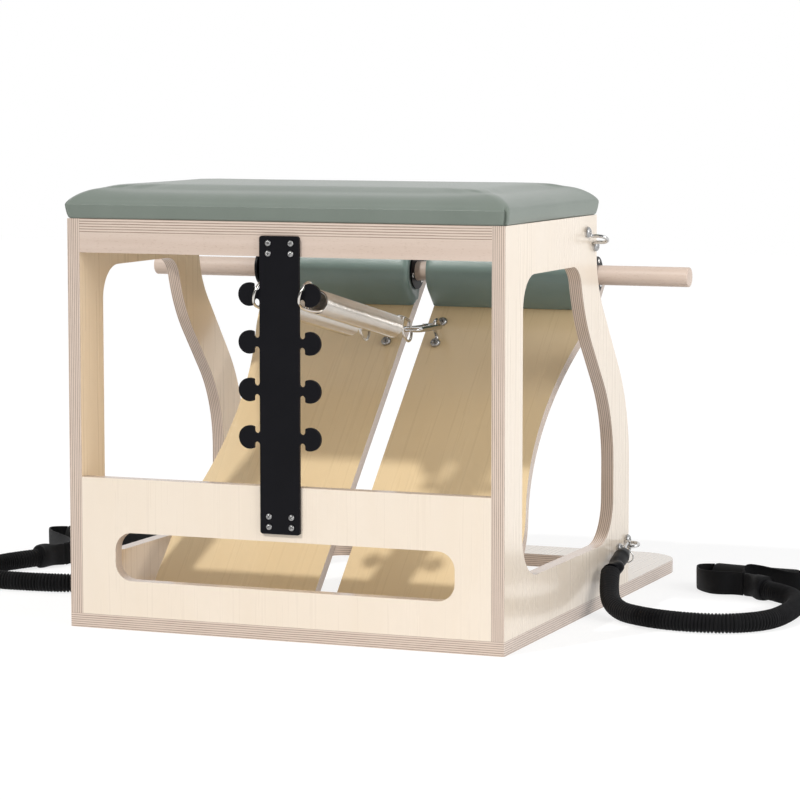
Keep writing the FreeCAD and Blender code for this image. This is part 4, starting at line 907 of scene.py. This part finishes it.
sleeve_maker, given = node_maker("gathered_sleeve", ["Radius", "Gather", "Gathers", "Unevenness"])
line = given.add("GeometryNodeMeshToCurve", {}, {"Mesh": given.out("Geometry")})
line = given.add("GeometryNodeResampleCurve", {},
                 {"Curve": line, "Count": given.out("Gathers") * 8.0 + 1.0})
share = given.add("GeometryNodeSplineParameter")
here = given.add("GeometryNodeInputPosition")
uneven = given.add("ShaderNodeTexNoise", {}, {"Vector": here, "Scale": 90.0, "Detail": 1.0})
phase = share * given.out("Gathers") * math.pi + (uneven - 0.5) * given.out("Unevenness") * 3.0
crest = given.math("ABSOLUTE", given.math("SINE", phase)) ** 0.6
slack_share = given.math("MINIMUM", share * 5.0 - 0.45, (1 - share) * 6.0 + 0.30)
slack_share = given.math("MAXIMUM", given.math("MINIMUM", slack_share, 1.0), 0.10)
deep = given.out("Gather") * (0.55 + uneven * 0.9) * slack_share
tube_radius = given.out("Radius") - deep * (1 - crest)
line = given.add("GeometryNodeSetCurveRadius", {}, {"Curve": line, "Radius": tube_radius})
ring = given.add("GeometryNodeCurvePrimitiveCircle", {}, {"Resolution": 28, "Radius": 1.0})
tube = given.add("GeometryNodeCurveToMesh", {}, {
    "Curve": line, "Profile Curve": ring, "Scale": tube_radius, "Fill Caps": True})
pucker = given.add("ShaderNodeTexNoise", {}, {
    "Vector": given.add("GeometryNodeInputPosition"), "Scale": 260.0, "Detail": 2.0})
push = given.add("ShaderNodeVectorMath", {"operation": "SCALE"}, {
    0: given.add("GeometryNodeInputNormal"),
    "Scale": (pucker - 0.5) * given.out("Unevenness") * 0.0022})
tube = given.add("GeometryNodeSetPosition", {}, {"Geometry": tube, "Offset": push})
end_tree(given, tube)


def black_knit(name):
    """Black stretch knit: soft and dull, with fine ribs."""
    material, paint, spot = open_finish(name)
    yarn = noise(paint, spot, 1500.0, 2.0, 0.6)
    cloud = noise(paint, spot, 40.0, 2.0)
    colour = paint.mix(cloud, (0.0030, 0.0030, 0.0038, 1), (0.0058, 0.0058, 0.0068, 1))
    raised = paint.bump(yarn, 0.5)
    return close_finish(material, paint, {
        "Base Color": colour, "Roughness": 0.72 + (yarn - 0.5) * 0.2, "Normal": raised,
        "Specular IOR Level": 0.15, "Sheen Weight": 0.02, "Sheen Roughness": 0.5})


def black_rubber_finish(name):
    """Moulded rubber: black with a soft gloss."""
    material, paint, spot = open_finish(name)
    bloom = noise(paint, spot, 120.0, 3.0)
    colour = paint.mix(bloom, (0.0016, 0.0017, 0.0026, 1), (0.0034, 0.0036, 0.0050, 1))
    return close_finish(material, paint, {
        "Base Color": colour, "Roughness": 0.36 + (bloom - 0.5) * 0.16,
        "Specular IOR Level": 0.06})


def black_foam(name):
    """Closed-cell foam: dull black with fine cells."""
    material, paint, spot = open_finish(name)
    cells = paint.add("ShaderNodeTexVoronoi", {}, {"Vector": spot, "Scale": 1100.0}, 0)
    cloud = noise(paint, spot, 50.0, 2.0)
    colour = paint.mix(cloud, (0.0048, 0.0048, 0.0052, 1), (0.0085, 0.0085, 0.0090, 1))
    raised = paint.bump(cells, 0.35)
    return close_finish(material, paint, {
        "Base Color": colour, "Roughness": 0.82, "Normal": raised, "Specular IOR Level": 0.3})


def black_webbing_finish(name):
    """Woven nylon tape: black, with ribs across the tape on its own map."""
    material, paint, spot = open_finish(name)
    place = paint.add("ShaderNodeUVMap", {"uv_map": "tape"})
    apart = paint.add("ShaderNodeSeparateXYZ", {}, {0: place})
    over = paint.math("SINE", apart.out("X") * 3600.0)
    under = paint.math("SINE", apart.out("Y") * 2600.0)
    weave = over * under * 0.5 + 0.5
    cloud = noise(paint, spot, 60.0, 2.0)
    colour = paint.mix(cloud, (0.0032, 0.0032, 0.0040, 1), (0.0062, 0.0062, 0.0072, 1))
    raised = paint.bump(weave, 0.45)
    return close_finish(material, paint, {
        "Base Color": colour, "Roughness": 0.60 + weave * 0.12, "Normal": raised,
        "Specular IOR Level": 0.16})


sleeve_knit = black_knit("black_sleeve_knit")
boot_rubber = black_rubber_finish("black_boot_rubber")
grip_foam = black_foam("black_grip_foam")
tape_black = black_webbing_finish("black_tape")

lie = 13.9
cord_routes = {
    "left": from_rear([
        (-331.5, 374.0, 56.0), (-338.0, 341.0, 30.0), (-362.0, 303.0, 15.0),
        (-402.0, 268.0, lie), (-447.0, 243.0, lie), (-500.0, 236.0, lie),
        (-553.0, 235.0, lie), (-585.7, 249.0, lie), (-610.7, 274.5, lie),
        (-624.2, 307.2, lie), (-628.0, 355.0, lie), (-617.0, 400.0, 14.3),
        (-592.0, 436.0, 15.5)]),
    "right": from_rear([
        (331.5, 374.0, 56.0), (338.0, 341.0, 30.0), (362.0, 309.0, 15.0),
        (402.0, 281.0, lie), (452.0, 262.0, lie), (506.0, 262.0, lie),
        (538.7, 275.5, lie), (563.7, 300.5, lie), (577.2, 333.2, lie),
        (581.0, 385.0, lie), (579.0, 440.0, lie), (566.0, 490.0, lie),
        (541.0, 527.0, 14.3), (504.0, 550.5, 15.5)]),
}
sleeve_radius = 0.0135
gather_pitch = 0.0048
gather_depth = 0.0034


def ring_of(centre, side, up, half_wide, half_high, count, power=2.0):
    """Points of a rounded section round a centre."""
    found = []
    for index in range(count):
        angle = 2 * math.pi * index / count
        c, s = math.cos(angle), math.sin(angle)
        x = half_wide * math.copysign(abs(c) ** (2 / power), c)
        z = half_high * math.copysign(abs(s) ** (2 / power), s)
        found.append(centre + side * x + up * z)
    return found


def skin(name, tubes, tapes=None):
    """A closed mesh over rows of rings, capped at both ends. tapes gives each ring's run."""
    work = bmesh.new()
    layer = work.loops.layers.uv.new("tape")
    for tube, rings in enumerate(tubes):
        rows = [[work.verts.new(p) for p in ring] for ring in rings]
        count = len(rows[0])
        for row in range(len(rows) - 1):
            for index in range(count):
                after = (index + 1) % count
                corners = ((row, index), (row, after), (row + 1, after), (row + 1, index))
                face = work.faces.new([rows[r][k] for r, k in corners])
                face.smooth = True
                if tapes:
                    for loop, (r, k) in zip(face.loops, corners):
                        loop[layer].uv = (tapes[tube][r], loop.vert.co.z)
        work.faces.new(rows[0][::-1])
        work.faces.new(rows[-1])
    bmesh.ops.recalc_face_normals(work, faces=work.faces)
    return from_work(name, work)


strap_lines = {
    "left": ([(-569.4, 472.5, 17.5, 0), (-563.4, 484.2, 18.0, 0), (-590.0, 524.0, 18.5, 10),
              (-635.0, 569.0, 18.0, -8), (-668.0, 605.0, 17.5, 0), (-671.0, 628.0, 17.5, 0),
              (-648.8, 633.9, 17.5, 0)],
             [(-565.6, 469.9, 17.5, 0), (-556.8, 479.6, 20.0, 8), (-530.0, 534.0, 21.0, 16),
              (-499.0, 599.0, 18.5, 6), (-494.0, 631.0, 17.5, 0), (-497.0, 652.5, 17.5, 0),
              (-518.2, 651.1, 17.5, 0)]),
    "right": ([(466.5, 571.6, 17.5, 0), (454.7, 575.0, 18.0, 0), (432.0, 563.0, 18.5, 14),
               (404.0, 579.0, 17.5, -10), (386.0, 609.0, 17.5, 0), (384.0, 636.0, 17.5, 0),
               (405.2, 640.1, 17.5, 0)],
              [(469.0, 575.5, 17.5, 0), (458.9, 583.9, 22.0, 10), (462.0, 601.0, 29.0, 22),
               (490.0, 605.0, 26.0, 20), (530.0, 591.0, 19.5, 8), (556.0, 597.0, 17.5, 0),
               (557.0, 617.0, 17.5, 0), (535.8, 621.9, 17.5, 0)]),
}
strap_middle = 0.0175
strap_half_width = 0.0165
strap_half_thick = 0.0014
strap_sides = 20
cup_profile = [(-0.0034, 0.0140), (-0.0040, 0.0164), (-0.0015, 0.0176), (0.004, 0.0180),
               (0.009, 0.0178), (0.014, 0.0172), (0.019, 0.0164), (0.024, 0.0160),
               (0.028, 0.0160), (0.032, 0.0162), (0.036, 0.0164), (0.040, 0.0165)]
cup_sides = 32
cup_lift = 0.0022
cup_flat_at, cup_flat_half = 0.034, 0.0050
crumple_depth = 0.0009
notch_out, notch_back = 0.0020, 0.004
grip_ends = {"left": from_rear([(-648.0, 634.0, 17.5), (-519.0, 651.0, 17.5)]),
             "right": from_rear([(406.0, 640.0, 17.5), (535.0, 622.0, 17.5)])}
grip_radius = 0.0175
grip_sides = 40
grip_profile = [(0.0, 0.30), (0.0, 0.72), (0.004, 0.88), (0.015, 0.97), (0.04, 1.0),
                (0.25, 0.985), (0.5, 0.98), (0.75, 0.985), (0.96, 1.0), (0.985, 0.97),
                (0.996, 0.88), (1.0, 0.72), (1.0, 0.30)]
boot_sides = 36
lobe_height = 0.0075
lobe_place, lobe_reach = 68, 13
boot_top = Vector((0.325467, 0.307919, 0.071197))
boot_profile = [(-6, 3.5), (-3, 6.5), (2, 8.5), (8, 9.8), (14, 10.8), (18, 11.4), (21, 11.3),
                (23, 10.9), (32, 10.9), (42, 10.8), (50, 10.4), (56, 9.4), (62, 9.0), (66, 9.2),
                (70, 9.6), (75, 10.6), (79, 11.4), (83, 12.0)]

for side, sign in (("left", -1), ("right", 1)):
    route = cord_routes[side]
    line = smooth_line(side + "_cord_line", route)
    length = sum((Vector(b) - Vector(a)).length for a, b in zip(line, line[1:]))
    thread = bpy.data.meshes.new(side + "_cord_thread")
    thread.from_pydata(line, [(i, i + 1) for i in range(len(line) - 1)], [])
    sleeve = grown(side + "_gathered_sleeve", thread, sleeve_maker, {
        "Radius": sleeve_radius, "Gather": gather_depth,
        "Gathers": float(round(length / gather_pitch)), "Unevenness": 0.35}, sleeve_knit)
    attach(sleeve, "frame")
    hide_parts(side + "_cord_sleeve", side + "_cord_core")

    top = Vector((sign * boot_top.x, boot_top.y, boot_top.z))
    down = (Vector(route[0]) - top).normalized()
    outer = Vector((sign, 0, 0))
    outer = (outer - down * outer.dot(down)).normalized()
    above = outer.cross(down) * sign
    rings = []
    for place, radius in boot_profile:
        section = ring_of(top + down * (place / 1000), outer, above, radius / 1000,
                          radius / 1000, boot_sides)
        bulge = lobe_height * max(0.0, 1 - ((place - lobe_place) / lobe_reach) ** 2)
        for index in range(boot_sides):
            angle = 2 * math.pi * index / boot_sides
            toward = max(0.0, math.cos(angle + 0.35)) ** 3
            away = outer * math.cos(angle) + above * math.sin(angle)
            section[index] += away * (bulge * toward)
        rings.append(section)
    boot = skin(side + "_rubber_boot", [rings])
    boot.data.materials.append(boot_rubber)
    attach(boot, "frame")
    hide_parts(side + "_cord_boot")

    end = Vector(line[-1])
    along = (end - Vector(line[-2])).normalized()
    flat_along = Vector((along.x, along.y, 0)).normalized()
    across = Vector((flat_along.y, -flat_along.x, 0))
    up = Vector((0, 0, 1))
    rings = []
    runs = []
    for place, mouth in cup_profile:
        flat = ease(place / cup_flat_at)
        centre = end + flat_along * place
        centre.z = end.z + cup_lift + (strap_middle - end.z - cup_lift) * flat
        section = ring_of(centre, across, up, mouth + (cup_flat_half - mouth) * flat, mouth,
                          cup_sides, 2.0 + 1.5 * flat)
        for index, point in enumerate(section):
            angle = 2 * math.pi * index / cup_sides
            crumple = crumple_depth * math.sin(3 * angle + 160 * place) * (1 - flat)
            notch = max(0.0, math.cos(angle - 0.5)) ** 3 if place < -0.002 else 0.0
            out_way = (point - centre).normalized()
            section[index] = (point + out_way * (crumple + notch_out * notch)
                              + flat_along * (notch_back * notch))
        rings.append(section)
        runs.append(place)
    cup = skin(side + "_strap_cup", [rings], [runs])
    cup.data.materials.append(tape_black)
    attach(cup, "frame")
    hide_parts(side + "_handle_cup")

    strap_rings = []
    tapes = []
    for points in strap_lines[side]:
        path = smooth_line(side + "_strap_line", from_rear([p[:3] for p in points]))
        path = [Vector(p) for p in path]
        leans = [p[0] for p in smooth_line(side + "_strap_lean", [(p[3], 0, 0) for p in points])]
        rings = []
        runs = []
        run = 0.0
        for index, point in enumerate(path):
            ahead = path[min(index + 1, len(path) - 1)] - path[max(index - 1, 0)]
            out_way = Vector((ahead.y, -ahead.x, 0)).normalized()
            if index:
                run += (point - path[index - 1]).length
            twist = Matrix.Rotation(math.radians(leans[index]), 3, ahead.normalized())
            rings.append(ring_of(point, twist @ out_way, twist @ up, strap_half_thick,
                                 strap_half_width, strap_sides, 5.0))
            runs.append(run)
        strap_rings.append(rings)
        tapes.append(runs)
    strap = skin(side + "_hand_strap", strap_rings, tapes)
    strap.data.materials.append(tape_black)
    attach(strap, "frame")
    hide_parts(side + "_handle_strap")

    start, stop = (Vector(p) for p in grip_ends[side])
    grip_way = (stop - start).normalized()
    grip_side = Vector((grip_way.y, -grip_way.x, 0))
    grip_length = (stop - start).length
    rings = []
    for share_along, share_radius in grip_profile:
        rings.append(ring_of(start + grip_way * (grip_length * share_along), grip_side, up,
                             grip_radius * share_radius, grip_radius * share_radius, grip_sides))
    grip = skin(side + "_foam_grip", [rings])
    grip.data.materials.append(grip_foam)
    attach(grip, "frame")
    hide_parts(side + "_handle_grip")
